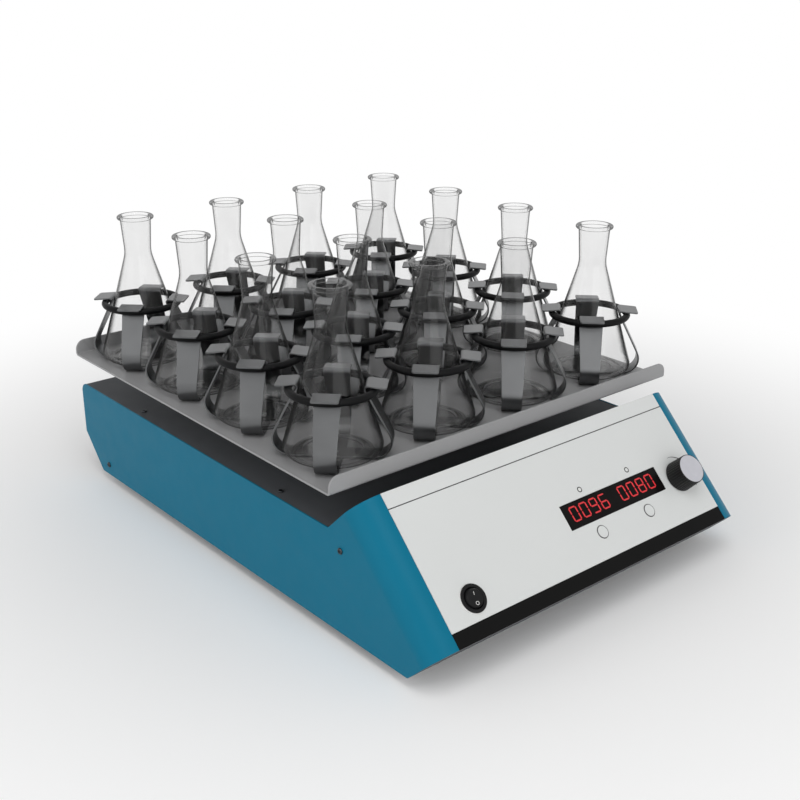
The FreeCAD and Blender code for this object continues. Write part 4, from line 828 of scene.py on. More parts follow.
STEEL = Metal("bright_steel", tone(190, 190, 190), 0.3)
DARK_SCREW = Metal("screw_dark", tone(70, 72, 75), 0.4)
MACHINED = Metal("machined_steel", tone(165, 165, 168), 0.33, brush=Axis.Z, stretch=0.1)
PLATED = Metal("plated_sheet", tone(168, 170, 172), 0.45, spread=0.14)
CAST = Metal("cast_aluminium", tone(170, 170, 172), 0.55, stretch=1.0, line=0.5, relief=0.05)
ALUMINIUM = Metal("machined_aluminium", tone(200, 200, 202), 0.32)
MOTOR_PAINT = Coating("motor_black", tone(40, 40, 41), 0.45)
BELT = Moulding("belt_rubber", tone(28, 28, 28), 0.7)
BOARD = Coating("board_green", tone(28, 88, 52), 0.35)
INLET = Moulding("inlet_black", tone(26, 26, 26), 0.5)
FOOT = Moulding("foot_rubber", tone(30, 30, 30), 0.75, grain=0.8)


class SubAssembly:
    """Part of the object that makes its pieces and fits them to the frame."""

    def fit(self, piece: bpy.types.Object, body: Body, slot: str, finish: Finish, *nodes: str,
            inside: Finish | None = None) -> None:
        """Give a finished piece its finish and body, and hide the nodes that it stands for.

        Args:
            piece: The piece, in place.
            body: The body that it rides on.
            slot: The record's material slot; not used.
            finish: Its finish.
            nodes: The CAD nodes that it stands for.
            inside: A second finish, for the faces marked with index 1.
        """
        marks = [face.material_index for face in piece.data.polygons]
        piece.data.materials.clear()
        for one in (finish, inside):
            if one is not None:
                piece.data.materials.append(one.material())
        if inside is not None:
            piece.data.polygons.foreach_set("material_index", marks)
        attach(piece, body.value)
        if nodes:
            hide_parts(*nodes)
        LOG.info("%s: %d faces on %s", piece.name, len(piece.data.polygons), body.value)


@dataclass
class Housing(SubAssembly):
    """Painted side sheets with rounded cheeks, and the dark sheets between them."""

    half: float = 193.0
    sheet: float = 1.5
    cheek: float = 24.3
    console_length: float = 135.2
    console_thickness: float = 46.0
    bottom: float = 10.0
    top: float = 102.0
    rear: float = 282.5
    chamfer: Point = (32.4, 36.0)
    foot_radius: float = 5.0
    crown_radius: float = 10.0
    chamfer_radius: float = 3.0
    cheek_steps: int = 14
    edge: float = 0.35
    plain: dict[str, tuple[str, Finish, float]] = field(default_factory=lambda: {
        "top_plate": ("dark_paint", DARK, 0.3),
        "rear_panel": ("dark_paint", DARK, 0.25),
        "bottom_tray": ("dark_paint", DARK, 0.3),
        "console_back": ("dark_paint", DARK, 0.25),
        "front_strip": ("black_strip", STRIP, 0.3),
    })

    def side(self) -> bpy.types.Object:
        """Left side sheet: outline filled, slope edge spun into the cheek, then given its thickness."""
        foot = CONSOLE.point(0.0, -self.console_thickness)
        nose = CONSOLE.point(0.0, -self.cheek)
        crest = CONSOLE.point(self.console_length, -self.cheek)
        crown = CONSOLE.point(self.console_length, 0.0)[1]
        slope = math.radians(CONSOLE.slope)
        out = (self.top - crown) / math.cos(slope)
        neck = CONSOLE.point(self.console_length, out)
        corners = [(*foot, self.foot_radius), nose, crest, neck, (self.rear, self.top, self.crown_radius),
                   (self.rear, self.bottom + self.chamfer[1], self.chamfer_radius),
                   (self.rear - self.chamfer[0], self.bottom, self.chamfer_radius)]
        outline = [Vector((-self.half, y, z)) for y, z in rounded(corners, closed=True)]
        panel = BENCH.chain("side_panel_left", outline)
        bpy.ops.mesh.edge_face_add()
        middle = (Vector((-self.half, *nose)) + Vector((-self.half, *crest))) / 2
        BENCH.choose("EDGE", lambda place: (place - middle).length < 1.0)
        axis = (0.0, math.cos(slope), math.sin(slope))
        hinge = Vector((self.cheek - self.half, *nose)) * MM
        bpy.ops.mesh.spin(steps=self.cheek_steps, angle=-math.pi / 2, center=hinge, axis=axis)
        BENCH.edit(panel)
        bpy.ops.mesh.select_all(action="SELECT")
        bpy.ops.mesh.remove_doubles(threshold=MM * WELD)
        BENCH.face_towards(panel, Vector((-self.half, 0.0, 50.0)), Vector((-1.0, 0.0, 0.0)))
        BENCH.modify(panel, "SOLIDIFY", thickness=self.sheet * MM, offset=-1.0, use_even_offset=True)
        BENCH.ease(panel, self.edge)
        return BENCH.smooth(panel)

    def build(self) -> None:
        """Make and fit the housing's sheets."""
        left = self.side()
        right = BENCH.copy(left, "side_panel_right", Matrix.Scale(-1.0, 4, (1.0, 0.0, 0.0)))
        BENCH.smooth(BENCH.tidy(right))
        self.fit(left, Body.BASE, "teal_paint", TEAL, "left_side_panel")
        self.fit(right, Body.BASE, "teal_paint", TEAL, "right_side_panel")
        for node, (slot, finish, edge) in self.plain.items():
            self.fit(BENCH.recut(node, "sheet_" + node, edge), Body.BASE, slot, finish, node)
        socket = BENCH.recut("power_inlet", "inlet_socket", 0.2)
        self.fit(socket, Body.BASE, "inlet_black", INLET, "power_inlet")


@dataclass
class Fasteners(SubAssembly):
    """Round-headed housing screws with a cross recess, and the feet."""

    head_radius: float = 2.8
    head_height: float = 1.5
    recess_width: float = 0.7
    recess_reach: float = 1.6
    recess_depth: float = 0.9
    half: float = 193.0
    side_places: tuple[Point, ...] = ((234.3, 21.9), (-169.44, 87.59))
    top_x: float = 183.0
    top_ys: tuple[float, ...] = (-72.9, 165.1)
    plate_top: float = 101.5
    foot_places: tuple[Point, ...] = ((-158.0, -214.134), (-158.0, 212.1), (158.0, -214.134), (158.0, 212.1))

    def screw(self) -> bpy.types.Object:
        """One screw head at the origin, its recess cut by two crossed blades."""
        radius, top = self.head_radius, self.head_height
        outline = rounded([(0.0, -0.5), (radius, -0.5, 0.15), (radius, top, 1.1), (0.0, top)])
        head = BENCH.lathe("screw_head", outline, 32)
        reach, side = self.recess_reach, self.recess_width / 2
        for turn in (0.0, 90.0):
            blade = BENCH.block("blade", (-reach, -side, top - self.recess_depth), (reach, side, top + 1.0))
            BENCH.place(blade, Matrix.Rotation(math.radians(turn), 4, "Z"))
            BENCH.modify(head, "BOOLEAN", operation="DIFFERENCE", object=blade, solver="EXACT")
            BENCH.drop(blade)
        return head

    def build(self) -> None:
        """Make and fit the screws and the feet."""
        head = self.screw()
        parts = []
        for side in (-1, 1):
            for y, z in self.side_places:
                lay = Matrix.Translation(Vector((side * self.half, y, z)) * MM)
                lay = lay @ Matrix.Rotation(side * math.pi / 2, 4, "Y")
                parts.append(BENCH.copy(head, "screw", lay))
            for y in self.top_ys:
                lay = Matrix.Translation(Vector((side * self.top_x, y, self.plate_top)) * MM)
                parts.append(BENCH.copy(head, "screw", lay))
        BENCH.drop(head)
        screws = BENCH.smooth(BENCH.join(parts, "body_screws"))
        self.fit(screws, Body.BASE, "steel", DARK_SCREW, "housing_screws")
        outline = rounded([(0.0, 0.0), (9.0, 0.0), (9.5, 0.8), (12.0, 0.8), (12.4, 0.0), (14.0, 0.0, 0.6),
                           (13.4, 2.4, 0.4), (12.4, 3.0, 0.3), (11.0, 10.0), (0.0, 10.0)])
        foot = BENCH.lathe("foot", outline, 48)
        feet = [BENCH.copy(foot, "foot", Matrix.Translation(Vector((x, y, 0.0)) * MM))
                for x, y in self.foot_places]
        BENCH.drop(foot)
        self.fit(BENCH.smooth(BENCH.join(feet, "rubber_feet")), Body.BASE, "foot_rubber", FOOT, "feet")


@dataclass
class Controls(SubAssembly):
    """What the console carries: panel, display, lamps, keys, power switch and speed knob."""

    window: tuple[float, float, float, float] = (55.4, 58.9, 127.0, 23.0)
    groove: float = 124.1
    groove_reach: float = 1.0
    groove_shift: float = -3.1
    digit_height: float = 14.1
    digit_width: float = 9.2
    digit_pitch: float = 12.5
    digit_stroke: float = 1.35
    digit_slant: float = -2.0
    digit_gap: float = 0.4
    digit_starts: tuple[float, ...] = (-0.1, 62.9)
    digit_middle: float = 59.7
    shown: tuple[str, str] = ("0096", "0080")
    key_radius: float = 6.1
    key_places: tuple[Point, ...] = ((22.9, 36.0), (86.1, 36.0))
    lens_up: float = 77.5
    lens_radius: float = 1.75
    lens_ring: float = 2.6
    switch_place: Point = (-135.3, 30.9)
    bezel_radius: float = 12.3
    bezel_bore: float = 8.9
    barrel_radius: float = 10.3
    collar_height: float = 1.3
    rocker_tilt: float = 10.0
    rocker_ball: float = 8.6
    rocker_pivot: float = -0.3
    rocker_crown: float = 3.6
    knob_height: float = 19.3
    knob_base: float = 14.7
    knob_top: float = 14.0
    knob_face: float = 13.3
    flutes: int = 36
    flute_share: float = 0.966
    segments: dict[str, str] = field(default_factory=lambda: {
        "0": "abcdef", "6": "acdefg", "8": "abcdefg", "9": "abcdfg"})
    spots: dict[str, tuple[float, float, bool]] = field(default_factory=lambda: {
        "a": (0.5, 1.0, False), "b": (1.0, 0.5, True), "c": (1.0, -0.5, True), "d": (0.5, -1.0, False),
        "e": (0.0, -0.5, True), "f": (0.0, 0.5, True), "g": (0.5, 0.0, False)})

    def bar(self, middle: Point, length: float, upright: bool) -> bpy.types.Object:
        """One lit bar of a figure, with pointed ends and the figure's slant.

        Args:
            middle: Middle of the bar from the middle of the figure's left edge.
            length: Length from point to point.
            upright: Whether it stands.

        Returns:
            The bar, flat on the console's plane at the origin.
        """
        half, side = length / 2, self.digit_stroke / 2
        outline = []
        for along, beside in ((-half, 0.0), (side - half, side), (half - side, side), (half, 0.0),
                              (half - side, -side), (side - half, -side)):
            x, y = (-beside, along) if upright else (along, beside)
            y += middle[1]
            outline.append(Vector((x + middle[0] + y * math.tan(math.radians(self.digit_slant)), y, 0.0)))
        return BENCH.prism("bar", outline, Vector((0.0, 0.0, 0.12)))

    def digit(self, figure: str, x: float) -> list[bpy.types.Object]:
        """The lit bars of one figure whose left edge is at x.

        Args:
            figure: The figure.
            x: Left edge at the middle of its height.

        Returns:
            The bars, laid on the window.
        """
        width = self.digit_width - self.digit_stroke
        rise = (self.digit_height - self.digit_stroke) / 2
        lay = CONSOLE.matrix(x + self.digit_stroke / 2, self.digit_middle, 0.02)
        bars = []
        for across, height, upright in (self.spots[letter] for letter in self.segments[figure]):
            length = (rise if upright else width) - self.digit_gap
            bars.append(BENCH.place(self.bar((across * width, height * rise), length, upright), lay))
        return bars

    def sheet(self) -> None:
        """Printed console sheet, its groove slid down the slope to where the photograph has it."""
        sheet = BENCH.recut("front_panel", "console_sheet", 0.2)
        slope = math.radians(CONSOLE.slope)
        start = Vector((0.0, *CONSOLE.point(self.groove, 0.0)))
        ahead = Vector((0.0, math.cos(slope), math.sin(slope)))
        BENCH.edit(sheet, "VERT")
        BENCH.choose("VERT", lambda place: abs((place - start).dot(ahead)) < self.groove_reach)
        bpy.ops.transform.translate(value=ahead * self.groove_shift * MM)
        BENCH.rest()
        self.fit(sheet, Body.BASE, "panel_print", PANEL, "front_panel")

    def display(self) -> None:
        """Dark window let into the panel, and its lit figures."""
        x, up, width, height = self.window
        half, rise = width / 2, height / 2
        pane = BENCH.block("display_pane", (x - half, up - rise, -2.0), (x + half, up + rise, 0.0))
        BENCH.edit(pane)
        BENCH.choose("FACE", lambda place: place.z > -0.1)
        bpy.ops.mesh.inset(thickness=1.2 * MM, depth=-0.12 * MM)
        BENCH.rest()
        BENCH.ease(pane, 0.15)
        BENCH.place(BENCH.smooth(pane), CONSOLE.matrix())
        self.fit(pane, Body.BASE, "display_filter", WINDOW, "display_window")
        bars = []
        for start, figures in zip(self.digit_starts, self.shown):
            for index, figure in enumerate(figures):
                bars += self.digit(figure, start + index * self.digit_pitch)
        self.fit(BENCH.join(bars, "display_figures"), Body.BASE, "display_filter", DIGITS)

    def keys_and_lamps(self) -> None:
        """Two round keys and the two small lamps above them."""
        outline = rounded([(0.0, -3.8), (self.key_radius, -3.8), (self.key_radius, 0.4, 0.3), (5.4, 0.36),
                           (4.6, 0.22), (0.0, 0.18)])
        names = (("key_set", Body.SET, "set_button"), ("key_start_stop", Body.START, "start_stop_button"))
        for (x, up), (name, body, node) in zip(self.key_places, names):
            key = BENCH.smooth(BENCH.lathe(name, outline, 64))
            BENCH.place(key, CONSOLE.matrix(x, up))
            cap = RingedCap(name + "_film", PANEL.colour, 0.42, mottle=0.012, grain=0.5, centre=(x, up))
            self.fit(key, body, "button_film", cap, node)
        lamps, rings = [], []
        inner, outer = self.lens_radius, self.lens_ring
        for x, _ in self.key_places:
            lay = CONSOLE.matrix(x, self.lens_up)
            lens = rounded([(0.0, -4.0), (inner, -4.0), (inner, 0.3, 0.25), (0.0, 0.55)])
            lamps.append(BENCH.place(BENCH.lathe("lamp", lens, 32), lay))
            edge = rounded([(inner, -2.0), (outer, -2.0), (outer, 0.25, 0.1), (inner + 0.03, 0.25, 0.1),
                            (inner, -2.0)])
            rings.append(BENCH.place(BENCH.lathe("ring", edge, 32), lay))
        self.fit(BENCH.smooth(BENCH.join(lamps, "lamp_lenses")), Body.BASE, "lens", LENS, "led_lenses")
        self.fit(BENCH.smooth(BENCH.join(rings, "lamp_rings")), Body.BASE, "lens", LENS_RING)

    def switch(self) -> None:
        """Round power switch: pale collar, black bezel, rocker with its two marks."""
        x, up = self.switch_place
        lay = CONSOLE.matrix(x, up)
        rim, bore, barrel, seat = self.bezel_radius, self.bezel_bore, self.barrel_radius, self.collar_height
        outline = rounded([(bore, -6.0), (bore, 1.5, 0.3), (bore + 0.5, 2.0, 0.2), (rim - 0.4, 2.0, 0.45),
                           (rim, seat + 0.05, 0.1), (rim - 0.8, seat), (barrel, seat), (barrel, -6.0),
                           (bore, -6.0)])
        bezel = BENCH.place(BENCH.smooth(BENCH.lathe("switch_bezel", outline, 72)), lay)
        self.fit(bezel, Body.BASE, "switch_black", SWITCH, "switch_body")
        outline = rounded([(barrel, 0.0), (rim + 0.1, 0.0), (rim + 0.1, seat - 0.2, 0.15),
                           (rim - 0.1, seat, 0.1), (barrel, seat), (barrel, 0.0)])
        collar = BENCH.place(BENCH.smooth(BENCH.lathe("switch_collar", outline, 72)), lay)
        self.fit(collar, Body.BASE, "switch_black", COLLAR)
        ball, crown = self.rocker_ball, self.rocker_crown
        slope = math.radians(self.rocker_tilt)
        rise = ball * math.tan(slope)
        section = [(-ball, -2.5), (ball, -2.5), (ball, crown + rise), (0.0, crown), (-ball, crown + rise)]
        side = [Vector((-9.0, y, z)) for y, z in section]
        rocker = BENCH.prism("switch_rocker", side, Vector((18.0, 0.0, 0.0)))
        globe = BENCH.lathe("globe", arc((0.0, 0.0), ball, -math.pi / 2, math.pi / 2, 32), 72)
        BENCH.modify(rocker, "BOOLEAN", operation="INTERSECT", object=globe, solver="EXACT")
        BENCH.drop(globe)
        BENCH.ease(rocker, 0.3, 3)
        tip = CONSOLE.matrix(x, up, self.rocker_pivot) @ Matrix.Rotation(slope, 4, "X")
        BENCH.place(BENCH.smooth(rocker), tip)
        self.fit(rocker, Body.ROCKER, "switch_black", SWITCH, "power_rocker")
        bar = BENCH.block("mark_on", (-0.22, -1.5, -0.1), (0.22, 1.5, 0.05))
        BENCH.ease(bar, 0.08)
        outline = [(1.2, -0.1), (1.6, -0.1), (1.6, 0.05), (1.2, 0.05), (1.2, -0.1)]
        ring = BENCH.lathe("mark_off", outline, 40)
        for mark, y, sign in ((bar, 4.2, 1), (ring, -4.0, -1)):
            lift = crown + abs(y) * math.tan(slope)
            turn = Matrix.Rotation(sign * slope, 4, "X")
            BENCH.place(BENCH.smooth(mark), tip @ Matrix.Translation(Vector((0.0, y, lift)) * MM) @ turn)
            self.fit(mark, Body.ROCKER, "switch_black", MARK)

    def knob(self) -> None:
        """Fluted knob with its pale face."""
        x, up = KNOB_PLACE
        lay = CONSOLE.matrix(x, up)
        top, rim = self.knob_height, self.knob_face
        outline = rounded([(9.5, 3.0), (9.5, 0.6), (self.knob_base, 0.6, 0.4), (14.66, 1.6), (14.05, top - 1.4),
                           (self.knob_top, top, 0.55), (rim + 0.05, top, 0.1), (rim + 0.05, top - 0.8),
                           (0.0, top - 0.8)])
        grip = BENCH.lathe("knob_grip", outline, self.flutes * 4)
        BENCH.edit(grip, "VERT")
        step = math.pi / (2 * self.flutes)

        def valley(place: Vector) -> bool:
            """Whether a corner of the grip lies in a flute."""
            turn = round(math.atan2(place.y, place.x) / step)
            reach = math.hypot(place.x, place.y)
            return turn % 4 == 0 and reach > 13.9 and 1.5 < place.z < top - 1.3

        BENCH.choose("VERT", valley)
        share = self.flute_share
        bpy.ops.transform.resize(value=(share, share, 1.0), center_override=(0.0, 0.0, 0.0))
        BENCH.rest()
        self.fit(BENCH.place(BENCH.smooth(grip, 25.0), lay), Body.KNOB, "knob_black", KNOB, "speed_knob")
        face = rounded([(0.0, top - 0.78), (rim, top - 0.78), (rim, top, 0.2), (rim - 0.7, top - 0.12),
                        (0.0, top - 0.2)])
        cap = BENCH.place(BENCH.smooth(BENCH.lathe("knob_face", face, 96)), lay)
        self.fit(cap, Body.KNOB, "cap_metal", CAP, "knob_cap")

    def build(self) -> None:
        """Make and fit everything on the console."""
        self.sheet()
        self.display()
        self.keys_and_lamps()
        self.switch()
        self.knob()


@dataclass
class Platform(SubAssembly):
    """Sheet with upturned lips, and the clamps that stand on it."""

    width: float = 413.0
    depth: float = 432.5
    bottom: float = 141.7
    sheet: float = 2.0
    lip: float = 16.0
    fold: float = 3.0
    centre: float = 42.1
    corner: float = 10.0
    pitch: float = 105.0
    rows: int = 4
    strip: float = 1.5
    base_width: float = 18.5
    top_width: float = 22.5
    reach: float = 50.5
    bend: float = 15.0
    ring_height: float = 60.2
    ring_radius: float = 36.1
    ring_section: float = 3.3
    ring_gap: float = 0.4
    hook_rise: float = 2.2
    hook_radius: float = 1.5
    hook_droop: float = 5.0
    hook_reach: float = 45.8
    hook_corner: float = 2.0

    def places(self) -> list[Point]:
        """Centres of the flasks, by row from the front and column from the left."""
        first = -(self.rows - 1) * self.pitch / 2
        return [(first + column * self.pitch, self.centre + first + row * self.pitch)
                for row in range(self.rows) for column in range(self.rows)]

    def tray(self) -> bpy.types.Object:
        """The platform sheet: its section drawn out, lip corners rounded, then given its thickness."""
        front, rear = self.centre - self.depth / 2, self.centre + self.depth / 2
        top = self.bottom + self.lip
        bends = [(front, top), (front, self.bottom, self.fold), (rear, self.bottom, self.fold), (rear, top)]
        path = rounded(bends, turn=11.0)
        half = self.width / 2
        tray = BENCH.chain("platform_sheet", [Vector((-half, y, z)) for y, z in path])
        bpy.ops.mesh.extrude_edges_move(TRANSFORM_OT_translate={"value": (self.width * MM, 0.0, 0.0)})
        BENCH.choose("VERT", lambda place: place.z > top - 0.1)
        bpy.ops.mesh.bevel(offset=self.corner * MM, segments=8, affect="VERTICES")
        BENCH.face_towards(tray, Vector((0.0, self.centre, self.bottom)), Vector((0.0, 0.0, 1.0)))
        BENCH.modify(tray, "SOLIDIFY", thickness=self.sheet * MM, offset=1.0, use_even_offset=True)
        BENCH.ease(tray, 0.45)
        return BENCH.smooth(tray)

    def finger(self, lift: float) -> list[Point]:
        """Outer face of half a strip in (r, z), from the middle of the base to the tip of the hook.

        Args:
            lift: How far the strip lies above the platform.

        Returns:
            The points.
        """
        bend_r = self.reach - self.bend
        ring_z = self.ring_height - lift
        run = math.sqrt(self.ring_radius ** 2 - (self.top_width / 2) ** 2) - bend_r
        rise = ring_z - self.bend
        apart = self.bend + self.ring_section + self.ring_gap
        lean = math.atan2(rise, run) - math.acos(apart / math.hypot(run, rise))
        along = (ring_z + self.hook_rise - self.bend * (1 + math.sin(lean))) / math.cos(lean)
        hook = (bend_r + (self.bend + self.hook_radius) * math.cos(lean) - along * math.sin(lean),
                ring_z + self.hook_rise + self.hook_radius * math.sin(lean))
        droop = math.radians(self.hook_droop)
        path = [(0.0, 0.0)] + arc((bend_r, self.bend), self.bend, -math.pi / 2, lean, 10)
        start = path[-1]
        over = arc(hook, self.hook_radius, math.pi + lean, math.pi / 2 - droop, 9)
        path += [(start[0] + (over[0][0] - start[0]) * share, start[1] + (over[0][1] - start[1]) * share)
                 for share in (0.25, 0.5, 0.75)]
        path += over
        last = over[-1]
        path.append((self.hook_reach, last[1] - (self.hook_reach - last[0]) * math.tan(droop)))
        return path

    def spring(self, name: str, lift: float) -> bpy.types.Object:
        """One strip with its two hooked fingers, along x at the origin."""
        half = self.finger(lift)
        path = [(-r, z) for r, z in reversed(half)] + half[1:]
        low = self.base_width / 2
        spring = BENCH.chain(name, [Vector((r, -low, z)) for r, z in path])
        bpy.ops.mesh.extrude_edges_move(TRANSFORM_OT_translate={"value": (0.0, self.base_width * MM, 0.0)})
        ring_z = self.ring_height - lift
        growth = (self.top_width / self.base_width - 1) / (ring_z - self.bend)
        for level in sorted({round(z, 3) for _, z in half if z > self.bend + 0.5}):
            BENCH.choose("VERT", lambda place: abs(place.z - level) < 0.002)
            share = 1 + growth * (level - self.bend)
            bpy.ops.transform.resize(value=(1.0, share, 1.0), center_override=(0.0, 0.0, 0.0))
        BENCH.choose("VERT", lambda place: abs(place.x) > self.hook_reach - 0.02 and place.z > self.bend * 3)
        bpy.ops.mesh.bevel(offset=self.hook_corner * MM, segments=5, affect="VERTICES")
        BENCH.face_towards(spring, Vector((10.0, 0.0, 0.0)), Vector((0.0, 0.0, 1.0)))
        BENCH.modify(spring, "SOLIDIFY", thickness=self.strip * MM, offset=1.0, use_even_offset=True)
        BENCH.ease(spring, 0.3)
        return BENCH.smooth(spring, 28.0)

    def ring(self) -> bpy.types.Object:
        """One clamp ring at the origin, with the fine line that its mould leaves outside."""
        section = arc((self.ring_radius, 0.0), self.ring_section, 0.0, 2 * math.pi, 24)
        section[0] = section[-1] = (section[0][0] + 0.1, 0.0)
        return BENCH.smooth(BENCH.lathe("ring", section, 96), 60.0)

    def build(self) -> None:
        """Make and fit the platform, the strips and the rings."""
        self.fit(self.tray(), Body.PLATFORM, "platform_grey", PLATFORM, "platform")
        top = self.bottom + self.sheet
        lower, upper = self.spring("lower", 0.0), self.spring("upper", self.strip)
        ring = self.ring()
        rings = []
        for row in range(self.rows):
            parts = []
            for x, y in self.places()[row * self.rows:(row + 1) * self.rows]:
                spot = Matrix.Translation(Vector((x, y, top)) * MM)
                lift = Matrix.Translation(Vector((0.0, 0.0, self.strip)) * MM)
                parts.append(BENCH.copy(lower, "strip", spot @ Matrix.Rotation(math.pi / 4, 4, "Z")))
                parts.append(BENCH.copy(upper, "strip", spot @ lift @ Matrix.Rotation(-math.pi / 4, 4, "Z")))
                height = Matrix.Translation(Vector((x, y, top + self.ring_height)) * MM)
                rings.append(BENCH.copy(ring, "ring", height))
            springs = BENCH.join(parts, "clamp_springs_%d" % (row + 1))
            self.fit(springs, Body.PLATFORM, "spring_steel", SPRING, "clamps_row_%d" % (row + 1))
        for pattern in (lower, upper, ring):
            BENCH.drop(pattern)
        self.fit(BENCH.join(rings, "flask_rings"), Body.PLATFORM, "ring_rubber", RING, "clamp_rings")
        under = {"platform_frame": ("cast_aluminium", CAST), "clamp_screws": ("steel", STEEL),
                 "platform_screws": ("steel", STEEL)}
        for node, (slot, finish) in under.items():
            self.fit(BENCH.recut(node, "piece_" + node, 0.25), Body.PLATFORM, slot, finish, node)


@dataclass
class Flasks(SubAssembly):
    """Sixteen conical flasks, turned once and copied."""

    platform: Platform
    height: float = 145.0
    base_radius: float = 42.5
    heel: float = 8.0
    waist: Corner = (12.8, 108.0, 32.0)
    neck_radius: float = 15.0
    wall: float = 1.8
    rim_radius: float = 17.85
    rim: float = 3.5
    punt: float = 2.6
    floor_share: float = 0.6
    floor_height: float = 32.4

    def flask(self) -> bpy.types.Object:
        """One flask at the origin."""
        lean = math.atan2(self.base_radius - self.waist[0], self.waist[1])
        heel_r = self.base_radius + self.heel * (1 / math.tan((math.pi / 2 - lean) / 2) - 1)
        neck = self.height - self.rim
        outer = rounded([(0.0, self.punt), (24.0, self.punt, 8.0), (31.0, 0.0, 4.0), (heel_r, 0.0, self.heel),
                         self.waist, (self.neck_radius, neck)], turn=7.0)
        inner = offset(outer, self.wall)
        inner[0] = (0.0, inner[0][1])
        bead = self.rim / 2 - 0.05
        mouth = rounded([(self.neck_radius, neck), (self.rim_radius, neck, bead),
                         (self.rim_radius, self.height, bead), (inner[-1][0], self.height, 1.0), inner[-1]],
                        turn=15.0)
        return BENCH.smooth(BENCH.lathe("flask", outer[:-1] + mouth + inner[-2::-1], 72), 60.0)

    def line(self, flask: bpy.types.Object) -> None:
        """Give the faces that look at the flask's own room the inside finish."""
        mouth = self.height - self.rim
        for face in flask.data.polygons:
            place, way = face.center / MM, face.normal
            reach = math.hypot(place.x, place.y)
            floor = reach <= self.floor_share * self.base_radius and place.z <= self.floor_height
            inward = way.z > 0 if floor else place.x * way.x + place.y * way.y < 0
            face.material_index = 1 if inward and place.z < mouth else 0

    def build(self) -> None:
        """Make and fit the sixteen flasks."""
        flask = self.flask()
        self.line(flask)
        base = self.platform.bottom + self.platform.sheet + 2 * self.platform.strip
        for index, (x, y) in enumerate(self.platform.places()):
            name = "%d_%d" % (index // self.platform.rows + 1, index % self.platform.rows + 1)
            piece = BENCH.copy(flask, "glass_" + name, Matrix.Translation(Vector((x, y, base)) * MM))
            self.fit(piece, Body.PLATFORM, "flask_glass", GLASS, "flask_" + name, inside=GLASS_INSIDE)
        BENCH.drop(flask)


@dataclass
class Drive(SubAssembly):
    """Cranks that show under the platform, and finishes for the pieces inside the housing."""

    cranks: dict[str, Body] = field(default_factory=lambda: {
        "drive_crank": Body.CRANK, "idler_crank_1": Body.IDLER_1, "idler_crank_2": Body.IDLER_2,
        "idler_crank_3": Body.IDLER_3})
    inside: dict[str, Finish] = field(default_factory=lambda: {
        "control_board": BOARD, "encoder": PLATED, "encoder_shaft": STEEL, "drive_chassis": PLATED,
        "bearing_housings": CAST, "shaft_bearings": STEEL, "drive_pulley": ALUMINIUM,
        "motor": MOTOR_PAINT, "motor_pulley": ALUMINIUM, "drive_belt": BELT, "power_supply": ALUMINIUM,
        "pin_bearings": STEEL})

    def build(self) -> None:
        """Make and fit the cranks, and dress the nodes that stay."""
        for node, body in self.cranks.items():
            self.fit(BENCH.recut(node, "turned_" + node, 0.3), body, "crank_steel", MACHINED, node)
        for node, finish in self.inside.items():
            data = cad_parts[node].data
            data.materials.clear()
            data.materials.append(finish.material())
            LOG.info("%s: %s", node, finish.name)


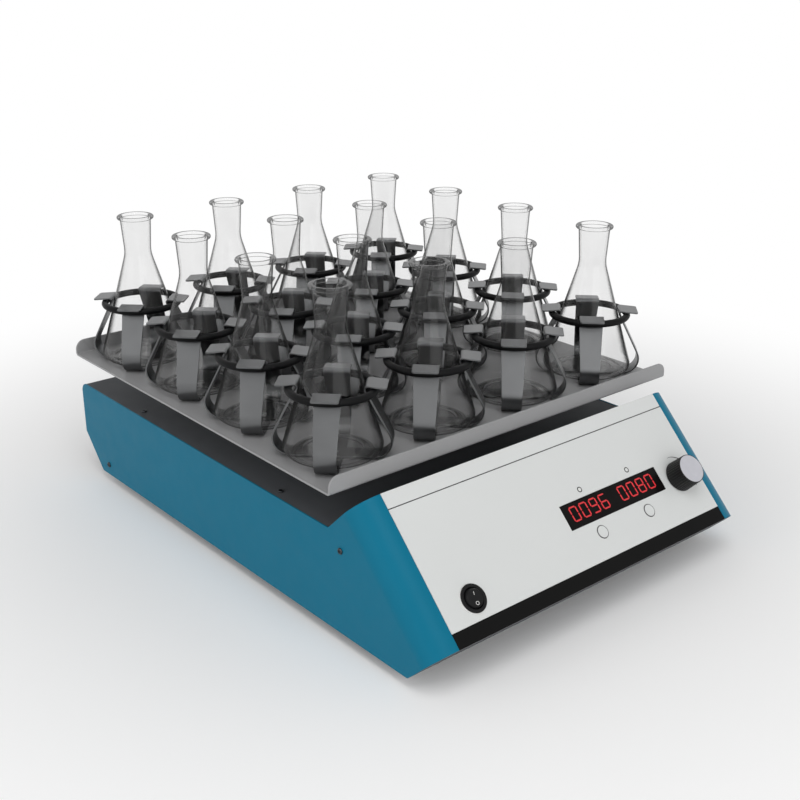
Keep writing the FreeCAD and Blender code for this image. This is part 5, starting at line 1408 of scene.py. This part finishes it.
@dataclass
class Studio:
    """Pale floor, soft light and the camera."""

    camera_place: tuple[float, float, float] = (-700.5, -840.2, 550.0)
    yaw: float = 40.352
    pitch: float = 21.57
    roll: float = 0.105
    lens: float = 53.34
    horizon: float = 0.95
    zenith: float = 0.15
    floor_colour: Colour = (0.96, 0.96, 0.96)
    floor_near: float = 0.2
    floor_far: float = 0.85
    floor_size: float = 40.0
    aim: tuple[float, float, float] = (0.0, 0.0, 0.1)
    lamps: dict[str, tuple[Corner, Point, float]] = field(default_factory=lambda: {
        "top": ((-0.7, -0.9, 2.2), (1.4, 1.4), 18.0),
        "front": ((-0.5, -2.3, 0.9), (2.0, 1.2), 13.0),
        "left": ((-2.2, 0.2, 1.1), (1.6, 1.6), 9.0),
    })

    def camera(self) -> None:
        """Camera at the photograph's viewpoint."""
        yaw, pitch, roll = (math.radians(value) for value in (self.yaw, self.pitch, self.roll))
        ahead = Vector((math.sin(yaw) * math.cos(pitch), math.cos(yaw) * math.cos(pitch), -math.sin(pitch)))
        right = Vector((math.cos(yaw), -math.sin(yaw), 0.0))
        up = right.cross(ahead)
        across = right * math.cos(roll) + up * math.sin(roll)
        above = up * math.cos(roll) - right * math.sin(roll)
        data = bpy.data.cameras.new("camera")
        data.lens = self.lens
        data.sensor_width = 36.0
        data.clip_start, data.clip_end = 0.01, 100.0
        camera = bpy.data.objects.new("camera", data)
        turn = Matrix((across, above, -ahead)).transposed().to_4x4()
        camera.matrix_world = Matrix.Translation(Vector(self.camera_place) * MM) @ turn
        bpy.context.scene.collection.objects.link(camera)
        bpy.context.scene.camera = camera

    def lamp(self, name: str, place: Corner, size: Point, power: float) -> None:
        """Rectangular soft box that looks at the part, in metres, its power in watts."""
        data = bpy.data.lights.new(name, "AREA")
        data.shape = "RECTANGLE"
        data.size, data.size_y = size
        data.energy = power
        lamp = bpy.data.objects.new(name, data)
        turn = (Vector(self.aim) - Vector(place)).to_track_quat("-Z", "Y").to_matrix().to_4x4()
        lamp.matrix_world = Matrix.Translation(Vector(place)) @ turn
        bpy.context.scene.collection.objects.link(lamp)

    def world(self) -> None:
        """Even studio light: pale for the camera and for clear and shiny things, softer for the rest."""
        world = bpy.data.worlds.new("studio")
        world.use_nodes = True
        bpy.context.scene.world = world
        graph = Graph(world.node_tree)
        way = graph.node("ShaderNodeTexCoord", output="Generated")
        height = graph.node("ShaderNodeSeparateXYZ", {}, {0: way}, "Z")
        glow = height.span(0.0, 1.0, self.horizon, self.zenith)
        light = graph.node("ShaderNodeBackground", {}, {"Color": (1.0, 1.0, 1.0, 1.0), "Strength": glow})
        white = graph.node("ShaderNodeBackground", {}, {"Color": (1.0, 1.0, 1.0, 1.0), "Strength": 1.0})
        graph.finish(graph.blend(self.seen(graph), light, white), "ShaderNodeOutputWorld")

    def seen(self, graph: Graph) -> Field:
        """1 for rays from the camera, through clear things and from shiny ones, else 0."""
        kinds = ("Is Camera Ray", "Is Transmission Ray", "Is Glossy Ray")
        straight, through, mirrored = (graph.node("ShaderNodeLightPath", output=kind) for kind in kinds)
        return straight.maths("MAXIMUM", through).maths("MAXIMUM", mirrored)

    def floor(self) -> None:
        """Wide pale floor that whitens with distance."""
        BENCH.rest()
        bpy.ops.mesh.primitive_plane_add(size=self.floor_size, location=(0.0, 0.0, 0.0))
        floor = bpy.context.object
        floor.name = "floor"
        material = bpy.data.materials.new("floor")
        material.use_nodes = True
        graph = Graph(material.node_tree)
        away = graph.node("ShaderNodeVectorMath", {"operation": "LENGTH"}, {0: graph.place()}, "Value")
        far = away.span(self.floor_near, self.floor_far, 0.0, 1.0, "SMOOTHSTEP")
        ground = graph.principled(Base_Color=self.floor_colour, Roughness=0.9, Specular_IOR_Level=0.1)
        white = graph.node("ShaderNodeEmission", {}, {"Color": (1.0, 1.0, 1.0, 1.0), "Strength": 1.0})
        graph.finish(graph.blend(far * self.seen(graph), ground, white))
        floor.data.materials.append(material)

    def build(self) -> None:
        """Set up the scene round the object."""
        self.camera()
        self.world()
        self.floor()
        for name, (place, size, power) in self.lamps.items():
            self.lamp(name, place, size, power)
        bpy.context.scene.view_settings.view_transform = "Standard"


def main() -> None:
    """Build everything in order."""
    logging.basicConfig(level=logging.INFO, format="%(message)s")
    Studio().build()
    Housing().build()
    Fasteners().build()
    Controls().build()
    platform = Platform()
    platform.build()
    Flasks(platform).build()
    Drive().build()


if __name__ == "__main__":
    main()
